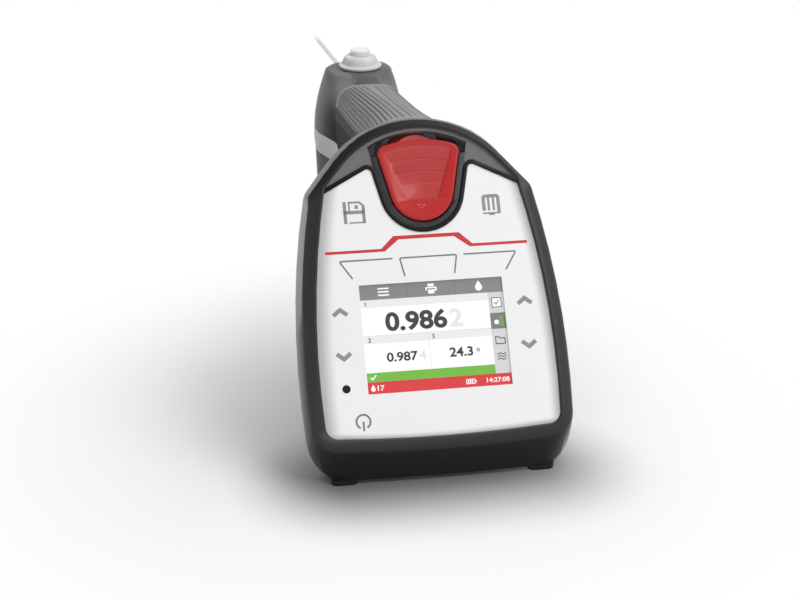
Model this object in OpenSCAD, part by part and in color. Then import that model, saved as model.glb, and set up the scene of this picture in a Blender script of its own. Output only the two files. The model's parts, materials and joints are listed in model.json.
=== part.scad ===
// Portable density meter: a tilted display head, a ribbed hand grip with a thumb pump inside it,
// and a nose leg that holds the oscillating glass cell. It stands on two front feet and one rear foot.
// Axes: +X to the user's right, +Y from the head to the nose, +Z up. The origin is on the table,
// under the axis of the rinsing port on top of the nose.

/* [Head] */
// Tilt of the front panel from the table, degrees
panel_tilt = 56.3; // [52:0.1:60]
// Height of the screen's centre above the table
screen_h = 50; // [49:0.5:54]
// Distance along the table from the rinsing port to the screen's centre
head_reach = 187; // [180:1:200]
// Half width of the head at its front edge
head_half_w = 50.1; // [49:0.1:54]
// Half width of the head at the bumper's rear edge
head_rear_half_w = 51.5; // [50.5:0.1:56]
// Radius of the head's bowed sides
side_r = 330; // [250:5:500]
// Height on the panel at which the head is widest
side_v = -13; // [-20:1:-5]
// Lower edge of the head's front, below the screen's centre
bottom_v = -43; // [-46:0.1:-42]
// Radius of the bowed lower edge
bottom_r = 580; // [400:10:900]
// Radius of the lower corners
corner_r = 10; // [7:0.5:13]
// Radius of the upper corners
shoulder_r = 6.4; // [6.4:0.1:9]
// Top of the hood over the thumb pad, above the screen's centre
hood_v = 83.5; // [82:0.1:86]
// Width of the bumper's front face
rim_w = 5.2; // [4.5:0.1:6]
// Width of the bumper's front face over the hood
hood_rim = 2.8; // [2.7:0.1:4]
// Width of the grey band between the hood's rim and the thumb pad's cavity
hood_band = 1.4; // [1:0.1:2]
// How far the bumper's front face stands above the panel
rim_rise = 0.9; // [0.5:0.1:1.5]
// Wall of the bumper beside the rear shell
bumper_wall = 2.6; // [2:0.1:3.2]
// Depth of the head behind the panel
head_depth = 31; // [30:0.5:36]
// Wall of the rear shell's floor
rear_wall = 3.8; // [3.4:0.1:4.4]

/* [Panel] */
// Thickness of the printed foil
foil_t = 0.6; // [0.4:0.1:0.8]
// Thickness of the front plate under the foil
plate_t = 3.4; // [2.5:0.1:4]
// Width of the screen window
screen_w = 54.6; // [50:0.1:58]
// Height of the screen window
screen_v = 41.2; // [38:0.1:44]
// Radius of the thumb well's lower end
well_r = 15.5; // [15:0.1:17]
// Centre of the thumb well's lower end, above the screen's centre
well_v = 55.9; // [55:0.1:58]
// Flare of the thumb well's sides, degrees
well_flare = 13; // [9:0.5:16]
// Radius of the foil's upper inner corners, at the middle of the gasket
edge_r = 2.6; // [1.4:0.1:3]
// Width of the black gasket round the foil's upper edge
gasket_w = 1.7; // [1.2:0.1:2.2]
// Width of the grey bezel inside the gasket
bezel_w = 2.1; // [1.6:0.1:2.4]
// Diameter of a key plunger
key_d = 6; // [5:0.1:7]
// Travel of a key
key_travel = 0.3; // [0.2:0.05:0.4]

/* [Thumb pump] */
// Slope of the grip's axis from the horizontal, degrees
grip_slope = 9; // [6:0.5:12]
// Where the grip's axis meets the panel, above the screen's centre
axis_v = 65.8; // [65:0.1:67]
// Travel of the thumb pad
pump_stroke = 10; // [8:0.5:11]
// Thickness of the thumb pad
pad_t = 6; // [5:0.1:7]
// Top of the thumb pad, above the screen's centre
pad_top_v = 75.6; // [74:0.1:76.5]
// Radius of the thumb pad's arched top
pad_arch_r = 45; // [35:1:60]
// Radius of the thumb pad's upper corners
pad_corner_r = 3.2; // [2:0.1:5]
// Depth of the thumb pad's fan-shaped recess at its rim
fan_depth = 1.4; // [0.3:0.1:2]
// Height of each arched step in the recess
fan_step = 0.45; // [0.2:0.05:0.6]
// Diameter of the plunger sleeve
sleeve_d = 20; // [18:0.1:20.4]
// Diameter of the piston rod
rod_d = 5; // [4:0.1:6]
// Bore of the pump cylinder
pump_bore = 16; // [13:0.1:17]
// Outer diameter of the pump cylinder
cylinder_d = 21; // [20:0.1:23]
// Bore of the grip
grip_bore = 26; // [25:0.1:27]
// Wire of the return spring
spring_wire = 1.2; // [0.8:0.1:1.4]
// Turns of the return spring
spring_turns = 7; // [5:1:9]

/* [Grip] */
// Half width of the grip at its waist
grip_half_w = 15.6; // [15.4:0.1:18]
// Rise of the grip above its axis
grip_rise = 15.6; // [15.4:0.1:18]
// Drop of the grip below its axis
grip_drop = 15.4; // [15.2:0.1:18]
// Extra half width of the grip where it leaves the head
grip_root = 5.4; // [4:0.1:7]
// Extra drop of the grip where it meets the nose
grip_flare = 4.6; // [3:0.1:6]
// How far each side of the grip draws in towards the nose
nose_pinch = 1; // [0:0.1:1.4]
// Number of lengthwise ribs on the grip
rib_count = 22; // [15:1:25]
// Depth of the grooves between the ribs
rib_depth = 0.6; // [0.3:0.1:1]

/* [Nose and leg] */
// Half width of the nose where it meets the collar
nose_half_w = 20.5; // [19:0.1:23]
// Half width of the nose at the edge of its crowned top
nose_top_half_w = 15; // [14:0.1:16]
// Rise of the nose's crown above its edge
crown_h = 2.4; // [2:0.1:3.4]
// Front face of the nose, before the port axis
nose_front = 22; // [21:0.1:24]
// Rear face of the nose, behind the port axis
nose_back = 33; // [32:0.1:38]
// Height of the nose's top above the table
nose_h = 102.2; // [101:0.1:104]
// Drop from the nose's top to the upper edge of the light collar
collar_drop = 30.2; // [28:0.1:32]
// Height of the light collar
collar_h = 10; // [6:0.1:11]
// Thickness of the rubber feet
foot_t = 1.8; // [1.4:0.1:2.4]
// Half width of the room inside the nose and leg
cell_room_half_w = 11.6; // [11.4:0.1:12]

/* [Port and tube] */
// Diameter of the port cap's flange
cap_d = 19.4; // [17:0.1:21]
// Diameter of the port cap's dome
dome_d = 16.4; // [14:0.1:17]
// Diameter of the white plug's head
plug_d = 8.8; // [8:0.1:10]
// Diameter of the port's screw spigot
spigot_d = 8; // [7.4:0.1:8.6]
// Slope of the filling tube from the horizontal, degrees
tube_slope = 5.7; // [3:0.1:8]
// Free length of the filling tube behind the nose
tube_len = 134; // [80:1:180]
// Outer diameter of the filling tube
tube_d = 2.4; // [2:0.1:3]
// Bore of the filling tube
tube_bore = 1.5; // [1:0.1:1.6]
// Outer diameter of the tube nut
nut_d = 12; // [11:0.1:14]

/* [Cell and power] */
// Outer diameter of the glass cell tube
cell_d = 4; // [3:0.1:5]
// Bore of the glass cell tube
cell_bore = 2.6; // [2:0.1:2.8]
// Half distance between the glass tube's legs
cell_half = 6; // [5:0.1:7]
// Diameter of a battery cell
battery_d = 14.5; // [14:0.1:14.5]
// Length of a battery cell
battery_len = 50.5; // [48:0.1:51]
// Travel of the battery door
door_travel = 14; // [8:0.5:15]

/* [Hidden] */
$fn = 48;
slack = 0.1;          // gap between fixed neighbours that are cut alike
run = 0.04;           // radial running clearance
far = 400;            // past every face, for cuts that run right through
axis_rise = 90 - panel_tilt - grip_slope;   // angle between the grip's axis and the panel's normal
grip_y = -head_reach + axis_v * cos(panel_tilt);
grip_z = screen_h + axis_v * sin(panel_tilt);
grip_len = (-nose_front - grip_y) / cos(grip_slope);
grip_end_z = grip_z - (-nose_front - grip_y) * tan(grip_slope);

// Head outline
diag_r = 400;
diag_mid = [head_half_w - 16.1, hood_v - 17];
diag_a = 41.2;
rear_bottom_v = bottom_v - 10;
rear_corner_r = corner_r + 8;
rear_hood_v = hood_v + 2.8;
rear_diag_out = 3;
lip_n = -1.7;
wall_depth = 12;
heel_depth = 20;
heel_in = 1;
// Depth of the bumper's outer edge behind the panel, and of its rear face, at heights on the panel
edge_table = [
  [rear_bottom_v, wall_depth], [bottom_v, wall_depth], [-28, 11], [54, 17], [70, 10], [80, 6.5],
  [hood_v + 6, 6]];
heel_table = [
  [rear_bottom_v, heel_depth], [bottom_v + bumper_wall, heel_depth], [-28, 12], [54, 18], [70, 11], [80, 7.5],
  [hood_v + 6, 7]];
plate_n = -foil_t - plate_t;
screen_frame = 1.7;
board_t = 1.6;
board_n = plate_n - 4;
arrow_u = screen_w / 2 + screen_frame + key_d / 2 + 1.8;
board_half_w = arrow_u + key_d / 2 - 1;
board_v = [-32, 37.8];
room_half_w = board_half_w + 0.2;
room_v = [-33, 38.4];
room_n = board_n - board_t - 3;
tray_half_w = 30;
tray_v = [-29, 22];
tray_n = -head_depth + rear_wall;
rear_face = [head_half_w - 10.1, -33, 12, 50];
rear_face_diag = -26;
rear_edge = 3;

// Panel edges
top_edge_v = 76.8;
top_edge_a = 27.5;
well_end_v = top_edge_v - 7;
well_deep = 6;
key_flange = 1;
soft_v = 26.5;
soft_u = 22;
KEYS = [
  ["key_save", [-26.4, 48.6]], ["key_list", [26.4, 48.6]],
  ["key_soft_left", [-soft_u, soft_v]],
  ["key_soft_middle", [0, soft_v]],
  ["key_soft_right", [soft_u, soft_v]],
  ["key_up_left", [-arrow_u, 11.6]], ["key_up_right", [arrow_u, 11.6]],
  ["key_down_left", [-arrow_u, -7]], ["key_down_right", [arrow_u, -7]],
  ["key_power", [-30.4, -30.2]]
];
key_bottom = board_n + 1.8;
key_pocket_n = plate_n - 3;
key_pocket_d = key_d + 2.4;
switch_top = key_bottom - key_travel - slack;
switch_d = key_d - 2.5;
sensor_at = [-35.3, -18];
sensor_d = 3.1;

// Thumb pump, along the grip's axis from the panel
pad_gap = 0.45;
pad_rise = 1.4;
pad_edge = 0.5;
pad_margin = 1.2;
pad_room = 0.6;
fan_low = [6.2, 52.2];
fan_high = [13, 71.2];
fan_pitch = 4.8;
pad_drop = pump_stroke * cos(axis_rise);
pad_lift = pump_stroke * sin(axis_rise);
chamber_n = pad_rise - pad_t - pad_drop - 1.2;
sleeve_floor = 16;
sleeve_end = 36;
sleeve_wall = 2.4;
bush_s = 24;
bush_len = 8;
front_gap = 1;
cylinder_s = sleeve_end + pump_stroke + front_gap;
cylinder_wall = 4;
piston_s = cylinder_s + cylinder_wall + 4;
piston_len = 8;
cylinder_len = cylinder_wall + 4 + piston_len + pump_stroke + 12;
flange_len = 4;
cap_s = cylinder_s + cylinder_len;
nipple_d = 5;
nipple_bore = 2;
nipple_len = 7;
hose_d = 7.4;
spring_mean_d = (sleeve_d - 2 * sleeve_wall + rod_d) / 2 - 0.2;

// Grip
root_len = 60;
root_drop = 2.5;
flare_len = 9;
grip_round = 0.84;
nose_round = 0.56;
rib_start = 20;
rib_run = 3;
rib_end = 4;

// Nose and leg
room_y = [-17, 21];
nose_roof = 9;
nose_wide_y = 5;
nose_draw = 9.4;
nose_front_w = grip_half_w - nose_pinch;
front_draw = 1.1;
edge_z = nose_h - crown_h;
room_top = nose_h - nose_roof;
hose_room = 12;
collar_top = min(nose_h - collar_drop, grip_end_z - hose_room);
leg_top = collar_top - collar_h;
leg_floor = 3;

// Cell
block_half_w = 11;
block_y = [-12, 18];
block_h = 18.2;
block_bottom = min(room_top - block_h, grip_end_z - nipple_d);
cell_y = 5;
cell_low = 26;
cell_board_y = -7;
coil_d = 10;
coil_len = 5.6;
magnet_t = 2;
magnet_d = 3.6;

// Rinsing port
cap_z = nose_h + 0.2;
cap_flange_t = 1.4;
cap_h = 5.6;
cap_roof = 1;
plug_h = 8.1;
plug_flange_t = 0.8;
plug_neck_d = plug_d - 1.8;
seal_t = 0.9;
seal_z = cap_z + cap_h - cap_roof - plug_flange_t - 0.15 - seal_t;
plug_stem_d = 3.8;
port_bore = plug_stem_d + 2 * run;
lobes = 2;
lobe_d = 5;

// Inlet, along the tube's axis from the nose's rear face
tube_y = nose_back - 5;
tube_drop = 14.8;
tube_z = nose_h - tube_drop;
tube_in = 4;
inlet_bore = tube_d + 2 * run;
inlet_flange_d = nut_d + 1;
inlet_flange_t = 4.6;
inlet_spigot_d = nut_d - 5;
inlet_spigot_len = 6;
inlet_shank_d = 8;
inlet_shank_len = tube_y - block_y[1] + 2;
nut_len = 11;
nut_s = inlet_flange_t + 0.4;
ferrule_d = inlet_spigot_d - 2.4;
ferrule_len = 2;

// Feet and battery
front_foot = [10.4, 5.6];
front_foot_x = head_half_w - 12.7;
front_foot_inset = 0.5;
function table_point(v, n) = [
  -head_reach + v * cos(panel_tilt) - n * sin(panel_tilt),
  screen_h + v * sin(panel_tilt) + n * cos(panel_tilt)];
// Where the line between two points of the head's middle section meets the top of the feet
function foot_line(p, q) = p[0] + (q[0] - p[0]) * (foot_t - p[1]) / (q[1] - p[1]);
front_foot_y = foot_line(table_point(bottom_v, lip_n), table_point(rear_bottom_v, -wall_depth))
  + front_foot_inset + front_foot[1] / 2;
battery_v = [-20, -4.6];
battery_n = tray_n + battery_d / 2 + 0.3;
contact_t = 0.7;
contact_w = battery_d - 3.5;
tray_t = 2;
door_half_w = 29;
door_v = [-30, 12];
door_t = 1.9;
door_rib = 24;
door_hole = [26, -28, 4];
screw_v = [-22, 43];
screw_in = 2;
// Half width of the opening in the bumper's front face at a height on the panel
function rim_u(v) = head_half_w - rim_w - pow(v - side_v, 2) / (2 * side_r);
screw_at = [for (v = screw_v) [rim_u(v) - screw_in, v]];
screw_d = 2.9;
screw_head_d = 5.5;
screw_head_n = -16;

// Frames
module on_panel() translate([0, -head_reach, screen_h]) rotate([panel_tilt, 0, 0]) children();
// Local +Z points back at the thumb, local +Y up
module on_grip() translate([0, grip_y, grip_z]) rotate([90 - grip_slope, 0, 0]) children();
// Local +Z points out along the filling tube
module on_tube() translate([0, tube_y, tube_z]) rotate([-90 - tube_slope, 0, 0]) children();

// Outlines
function polar(c, r, a) = [c[0] + r * cos(a), c[1] + r * sin(a)];
function arc(c, r, a0, a1, n) = [for (i = [0:n - 1]) polar(c, r, a0 + (a1 - a0) * i / n)];
function bearing(p) = atan2(p[1], p[0]);
// Centre of a circle of radius r that touches two larger circles from inside
function nest(ca, ra, cb, rb, r) =
  let (d = norm(cb - ca), a = (d * d + pow(ra - r, 2) - pow(rb - r, 2)) / (2 * d))
  let (h = sqrt(pow(ra - r, 2) - a * a), e = (cb - ca) / d)
  ca + a * e + h * [-e[1], e[0]];
// Right half of a head outline, from its lower centre to the top of the hood, grown by g
function half_head(g, half_w, low_v, low_r, diag_out, top_v) =
  let (cb = [0, low_v + bottom_r], cs = [half_w - side_r, side_v])
  let (cd = diag_mid + (diag_out - diag_r) * [cos(diag_a), sin(diag_a)])
  let (rise = top_v - cd[1], rh = (diag_r * diag_r - cd[0] * cd[0] - rise * rise) / (2 * (diag_r - rise)))
  let (ch = [0, top_v - rh], cc = nest(cb, bottom_r, cs, side_r, low_r))
  let (ck = nest(cs, side_r, cd, diag_r, shoulder_r))
  concat(
    arc(cb, bottom_r + g, -90, bearing(cc - cb), 3),
    arc(cc, low_r + g, bearing(cc - cb), bearing(cc - cs), 6),
    arc(cs, side_r + g, bearing(cc - cs), bearing(ck - cs), 7),
    arc(ck, shoulder_r + g, bearing(ck - cs), bearing(ck - cd), 4),
    arc(cd, diag_r + g, bearing(ck - cd), bearing(ch - cd), 2),
    arc(ch, rh + g, bearing(ch - cd), 90, 8),
    [[0, top_v + g]]);
function mirrored(half) = concat(half, [for (i = [len(half) - 2:-1:1]) [-half[i][0], half[i][1]]]);
function head_front(g) = mirrored(half_head(g, head_half_w, bottom_v, corner_r, 0, hood_v));
function head_rear(g) =
  mirrored(half_head(g, head_rear_half_w, rear_bottom_v, rear_corner_r, rear_diag_out, rear_hood_v));
// Inner edge of the bumper's front face, grown by g: the face is narrower over the hood than at the sides
function rim_line(g) = let (d = rim_w - hood_rim)
  mirrored(half_head(g - rim_w, head_half_w, bottom_v, corner_r, d, hood_v + d));
function flat_ring(points, n) = [for (p = points) [p[0], p[1], n]];
function deep_ring(points, table) = [for (p = points) [p[0], p[1], -lookup(p[1], table)]];

// Closed ring-shaped solid through rings of points, the last joined to the first
module loop(rings) {
  n = len(rings[0]);
  m = len(rings);
  polyhedron([for (r = rings) each r], [for (j = [0:m - 1], i = [0:n - 1])
    let (a = j * n + i, b = j * n + (i + 1) % n, c = (j + 1) % m * n + i, d = (j + 1) % m * n + (i + 1) % n)
    each [[a, c, b], [b, c, d]]]);
}
// Closed solid through rings of points, with each end closed round its middle
module loft(rings) {
  n = len(rings[0]);
  m = len(rings);
  middle = [for (r = [rings[0], rings[m - 1]]) [for (k = [0:2]) [for (p = r) p[k]] * [for (p = r) 1 / n]]];
  sides = [for (j = [0:m - 2], i = [0:n - 1])
    let (a = j * n + i, b = j * n + (i + 1) % n)
    each [[a, a + n, b], [b, a + n, b + n]]];
  ends = [for (i = [0:n - 1])
    each [[m * n, i, (i + 1) % n], [m * n + 1, (m - 1) * n + (i + 1) % n, (m - 1) * n + i]]];
  polyhedron([for (r = rings) each r, each middle], concat(sides, ends));
}

// Areas of the panel
module rim_area(g) polygon(rim_line(g));
// Round lower end and straight flared sides of the thumb well, grown by g
module well_area(g) {
  foot = polar([0, well_v], well_r + g, -well_flare);
  top_v = hood_v + rim_w;
  top_u = foot[0] + (top_v - foot[1]) * tan(well_flare);
  polygon(concat(
    arc([0, well_v], well_r + g, 180 + well_flare, 360 - well_flare, 32),
    [foot, [top_u, top_v], [-top_u, top_v]]));
}
// Area below the panel's roof-shaped upper edge and outside the thumb well, with round corners, grown by g
module edge_area(g) {
  side = top_edge_v - far * tan(top_edge_a);
  offset(r = edge_r + g) offset(delta = -edge_r) difference() {
    polygon([[-far, -far], [far, -far], [far, side], [0, top_edge_v], [-far, side]]);
    well_area(0);
  }
}
// Mouth of the cavity round the thumb pad
module cavity_area() intersection() {
  well_area(-gasket_w / 2);
  rim_area(-hood_band);
}
module slab(low, high) translate([0, 0, low]) linear_extrude(high - low) children();

// Head
head_skin = [
  deep_ring(head_front(-bumper_wall), heel_table),
  deep_ring(head_rear(-heel_in), heel_table),
  deep_ring(head_rear(0), edge_table),
  flat_ring(head_front(0), lip_n),
  flat_ring(head_front(-0.9), -0.6),
  flat_ring(rim_line(0.6), rim_rise),
  flat_ring(rim_line(0), rim_rise - 0.4)];
function rear_back(g) =
  mirrored(half_head(g, rear_face[0], rear_face[1], rear_face[2], rear_face_diag, rear_face[3]));
module rear_outer() loft([
  flat_ring(rear_back(-rear_edge), -head_depth),
  flat_ring(rear_back(0), -head_depth + rear_edge),
  deep_ring(head_front(-bumper_wall - slack), heel_table),
  flat_ring(head_front(-bumper_wall - slack), plate_n)]);
module under_table() translate([-far, -far, foot_t - far]) cube([2 * far, 2 * far, far]);
// Room that the thumb pad moves in: the sweeps of its back and of its face along the grip's axis
function room_ring(n, lift) = flat_ring([for (p = pad_outline(pad_room)) p + [0, lift]], n);
module chamber() on_panel() {
  loft([room_ring(chamber_n, pad_lift), room_ring(pad_rise - pad_t, 0), room_ring(pad_t, 0)]);
  loft([room_ring(chamber_n, pad_lift), room_ring(pad_rise - pad_drop, pad_lift), room_ring(pad_rise, 0)]);
}
module grip_hole() {
  along(-pad_t) cylinder(d = grip_bore, h = pad_t + cap_s + flange_len + slack);
  along(cap_s) cylinder(d = hose_d + 1, h = grip_len);
}
module bumper_frame() color([0.16, 0.16, 0.17]) difference() {
  on_panel() loop(concat(head_skin, [
    flat_ring(rim_line(0), plate_n),
    flat_ring(head_front(-bumper_wall), plate_n)]));
  under_table();
}
module front_plate() color([0.3, 0.3, 0.31]) on_panel() difference() {
  slab(plate_n, -foil_t) difference() {
    rim_area(-slack);
    cavity_area();
    square([screen_w + 2 * screen_frame + 2 * slack, screen_v + 2 * screen_frame + 2 * slack], center = true);
  }
  for (k = KEYS) translate([k[1][0], k[1][1], plate_n - 1]) cylinder(d = key_d + 2 * run, h = plate_t + 2);
  for (s = [-1, 1], p = screw_at) translate([s * p[0], p[1], plate_n - 1])
    cylinder(d = screw_d + slack, h = plate_t);
}
module keypad_foil() color([0.93, 0.93, 0.93]) on_panel() slab(-foil_t, 0) difference() {
  intersection() {
    rim_area(-slack);
    edge_area(-gasket_w / 2);
  }
  square([screen_w, screen_v], center = true);
  translate(sensor_at) circle(d = sensor_d);
}
module panel_gasket() color([0.05, 0.05, 0.05]) on_panel() slab(-foil_t, 0.4) intersection() {
  rim_area(-slack);
  difference() {
    edge_area(gasket_w / 2);
    edge_area(-gasket_w / 2);
  }
}
// Everything on the panel above a height
module above(v) translate([-far, v]) square(2 * far);
module thumb_well() color([0.22, 0.22, 0.23]) on_panel() slab(plate_n - well_deep, 0.2) difference() {
  well_area(-gasket_w / 2 - slack / 2);
  well_area(-gasket_w / 2 - bezel_w);
  above(well_end_v);
}
module display_window() color([0.6, 0.65, 0.7, 0.4]) on_panel()
  slab(-foil_t, 0) square([screen_w - slack, screen_v - slack], center = true);
module lcd_module() color([0.9, 0.92, 0.9]) on_panel() slab(board_n, -foil_t - slack / 2)
  square([screen_w + 2 * screen_frame, screen_v + 2 * screen_frame], center = true);
module main_board() color([0.1, 0.4, 0.25]) on_panel() slab(board_n - board_t, board_n)
  translate([-board_half_w, board_v[0]]) square([2 * board_half_w, board_v[1] - board_v[0]]);
// The two upper keys lie above the board, so their switches stand in the rear shell's pockets
module key_switches() color([0.75, 0.75, 0.77]) on_panel() for (k = KEYS) {
  base = k[1][1] < board_v[1] ? board_n : key_pocket_n;
  translate([k[1][0], k[1][1], base]) cylinder(d = switch_d, h = switch_top - base);
}
module light_sensor() color([0.03, 0.03, 0.03]) on_panel() translate([sensor_at[0], sensor_at[1], -foil_t])
  cylinder(d = sensor_d - 0.06, h = foil_t + 0.1);
module key(at) color([0.8, 0.8, 0.8]) on_panel() translate([at[0], at[1], 0]) {
  translate([0, 0, key_bottom]) cylinder(d = key_d, h = -foil_t - slack - key_bottom);
  translate([0, 0, plate_n - slack - key_flange]) cylinder(d = key_d + 1.6, h = key_flange);
}
module rear_shell() color([0.24, 0.24, 0.25]) difference() {
  on_panel() {
    difference() {
      rear_outer();
      translate([-room_half_w, room_v[0], room_n]) cube([2 * room_half_w, room_v[1] - room_v[0], head_depth]);
      translate([-tray_half_w, tray_v[0], tray_n]) cube([2 * tray_half_w, tray_v[1] - tray_v[0], head_depth]);
      translate([-door_half_w - slack, door_v[0] - slack, -head_depth - 1])
        cube([2 * (door_half_w + slack), door_v[1] - door_v[0] + door_travel + 1, door_t + 1.2]);
      translate([-door_hole[0], door_hole[1], -head_depth])
        cube([2 * door_hole[0], door_hole[2] - door_hole[1], 2 * rear_wall]);
      for (s = [-1, 1], p = screw_at) translate([s * p[0], p[1], 0]) {
        translate([0, 0, -head_depth]) cylinder(d = screw_d + 0.3, h = head_depth);
        translate([0, 0, -head_depth - 1])
          cylinder(d = screw_head_d + 0.4, h = head_depth + 1 + screw_head_n);
      }
      for (k = KEYS) translate([k[1][0], k[1][1], key_pocket_n]) cylinder(d = key_pocket_d, h = 4);
      slab(plate_n - well_deep - slack, 1) difference() {
        well_area(-gasket_w / 2);
        above(well_end_v + slack);
      }
    }
    for (s = [-1, 1]) translate([s * (battery_len / 2 + contact_t + tray_t / 2 + slack), 0, 0])
      translate([-tray_t / 2, tray_v[0] - slack, tray_n - 0.5])
        cube([tray_t, door_hole[2] - tray_v[0], board_n - board_t - tray_n + 0.5]);
  }
  chamber();
  grip_hole();
  under_table();
}
module housing_screws() color([0.7, 0.7, 0.72]) on_panel() for (s = [-1, 1], p = screw_at)
  translate([s * p[0], p[1], 0]) {
    translate([0, 0, screw_head_n]) cylinder(d = screw_d, h = plate_n + plate_t - 1.1 - screw_head_n);
    translate([0, 0, screw_head_n - 2.2]) difference() {
      cylinder(d = screw_head_d, h = 2.2);
      translate([0, 0, -0.1]) cylinder(d = 2.4, h = 1.3, $fn = 6);
    }
  }
module battery_cells() color([0.75, 0.72, 0.6]) on_panel() for (v = battery_v)
  translate([-battery_len / 2, v, battery_n]) rotate([0, 90, 0]) {
    cylinder(d = battery_d, h = battery_len - 1.5);
    cylinder(d = 5.4, h = battery_len);
  }
module battery_contacts() color([0.8, 0.8, 0.78]) on_panel() for (s = [-1, 1], v = battery_v)
  translate([s * (battery_len / 2 + contact_t / 2 + slack / 2), v, battery_n])
    cube([contact_t, contact_w, contact_w], center = true);
module battery_door() color([0.2, 0.2, 0.21]) on_panel() {
  translate([-door_half_w, door_v[0], -head_depth]) cube([2 * door_half_w, door_v[1] - door_v[0], door_t]);
  for (i = [0:4]) translate([-door_rib / 2, door_v[1] - 4 - 3 * i, -head_depth]) rotate([0, 90, 0])
    cylinder(d = 1.4, h = door_rib);
}
module front_feet() color([0.08, 0.08, 0.08]) for (s = [-1, 1])
  translate([s * front_foot_x, front_foot_y, 0]) {
    cube_x = front_foot[0] - front_foot[1];
    translate([-cube_x / 2, -front_foot[1] / 2, 0]) cube([cube_x, front_foot[1], foot_t]);
    for (e = [-1, 1]) translate([e * cube_x / 2, 0, 0]) cylinder(d = front_foot[1], h = foot_t);
  }

// Grip: it swells towards the head, and towards the nose it turns squarer and flares at its underside
function swell(s) = pow(max(0, 1 - s / root_len), 2);
function flare(s) = exp(-(grip_len - s) / flare_len);
function nosing(s) = pow(min(1, max(0, (s - root_len) / (grip_len - root_len))), 1.5);
function grip_a(s) = grip_half_w + grip_root * swell(s) - nose_pinch * nosing(s);
function grip_b(s) = grip_drop + root_drop * swell(s) + grip_flare * flare(s);
function roundness(s) = grip_round + (nose_round - grip_round) * nosing(s);
function bend(t, power) = sign(t) * pow(abs(t), power);
// The grooves between the ribs fade out at both ends
function fade(s) = max(0, min(1, (s - rib_start) / rib_run, (grip_len - rib_end - s) / rib_run));
rib_steps = 4 * rib_count + 8;
function groove(i, s) = (i < 4 || i > rib_steps - 4) ? 0
  : fade(s) * rib_depth * (0.5 - 0.5 * cos(90 * (i - 4)));
function grip_top(s) = [for (i = [0:rib_steps])
  let (t = 180 * i / rib_steps, g = groove(i, s), power = roundness(s))
  [(grip_a(s) - g) * bend(cos(t), power), (grip_rise - g) * bend(sin(t), power), -s]];
function grip_low(s) = [for (i = [0:24])
  let (t = 180 + 180 * i / 24, power = roundness(s))
  [grip_a(s) * bend(cos(t), power), grip_b(s) * bend(sin(t), power), -s]];
grip_even = (grip_len - rib_end - 3 * flare_len - rib_start - rib_run) / 4;
grip_stations = concat(
  [0, rib_start / 2, rib_start, rib_start + rib_run],
  [for (i = [1:4]) rib_start + rib_run + i * grip_even],
  [for (d = [2 * flare_len, flare_len, rib_run, 0, -rib_end, -rib_end - rib_run]) grip_len - rib_end - d]);
grip_steps = len(grip_stations) - 1;
module grip_trim() difference() {
  children();
  on_panel() {
    loft(head_skin);
    rear_outer();
    slab(-5, far) square(2 * far, center = true);
  }
  chamber();
  grip_hole();
  translate([-far, -nose_front, -far]) cube(2 * far);
}
module grip_cover() color([0.33, 0.33, 0.34]) grip_trim()
  on_grip() loft([for (i = [grip_steps:-1:0]) grip_top(grip_stations[i])]);
module grip_shell() color([0.26, 0.26, 0.27]) grip_trim()
  on_grip() loft([for (i = [grip_steps:-1:0]) grip_low(grip_stations[i])]);

// Thumb pump, drawn along the grip's axis: along(s) places a solid s behind the panel, growing to the nose
module along(s) on_grip() translate([0, 0, -s]) mirror([0, 0, 1]) children();
module ring_part(outer_d, inner_d, length) difference() {
  cylinder(d = outer_d, h = length);
  translate([0, 0, -1]) cylinder(d = inner_d, h = length + 2);
}
// Outline of the thumb pad, grown by g: round lower end, flared sides, arched top with round corners
function pad_outline(g) =
  let (r = well_r - gasket_w / 2 - bezel_w - pad_gap + g, k = pad_corner_r + g, m = tan(well_flare))
  let (foot = polar([0, well_v], r, -well_flare), arch = [0, pad_top_v - pad_arch_r])
  let (x = foot[0] - k / cos(well_flare), h = foot[1] - arch[1], a = 1 + m * m, b = x * m + h)
  let (q = (-b + sqrt(b * b - a * (x * x + h * h - pow(pad_arch_r - pad_corner_r, 2)))) / a)
  let (corner = [x + q * m, foot[1] + q])
  mirrored(concat(
    arc([0, well_v], r, -90, -well_flare, 7),
    [foot],
    arc(corner, k, -well_flare, bearing(corner - arch), 4),
    arc(arch, pad_arch_r + g, bearing(corner - arch), 90, 4),
    [[0, pad_top_v + g]]));
// Fan-shaped recess of the thumb pad, with as many points as its outline
function arch_v(u) = sqrt(pow(pad_arch_r, 2) - u * u);
function fan_arch(u) = fan_high[1] + arch_v(u) - arch_v(fan_high[0]);
function fan_line() = mirrored(concat(
  [for (i = [0:7]) [fan_low[0] * i / 8, fan_low[1]]],
  [for (i = [0:3]) fan_low + (fan_high - fan_low) * i / 4],
  [for (i = [4:-1:0]) [fan_high[0] * i / 4, fan_arch(fan_high[0] * i / 4)]]));
module pump_button() color([0.78, 0.1, 0.12]) on_panel() difference() {
  loft([
    flat_ring(pad_outline(0), pad_rise - pad_t),
    flat_ring(pad_outline(0), pad_rise - pad_edge),
    flat_ring(pad_outline(-pad_edge), pad_rise),
    flat_ring(pad_outline(-pad_margin), pad_rise),
    flat_ring(fan_line(), pad_rise - fan_depth)]);
  for (k = [1, 2]) slab(pad_rise - fan_depth - k * fan_step, pad_rise) intersection() {
    offset(delta = -slack) polygon(fan_line());
    translate([0, fan_arch(0) - k * fan_pitch - pad_arch_r]) circle(r = pad_arch_r, $fn = 120);
  }
}
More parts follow.
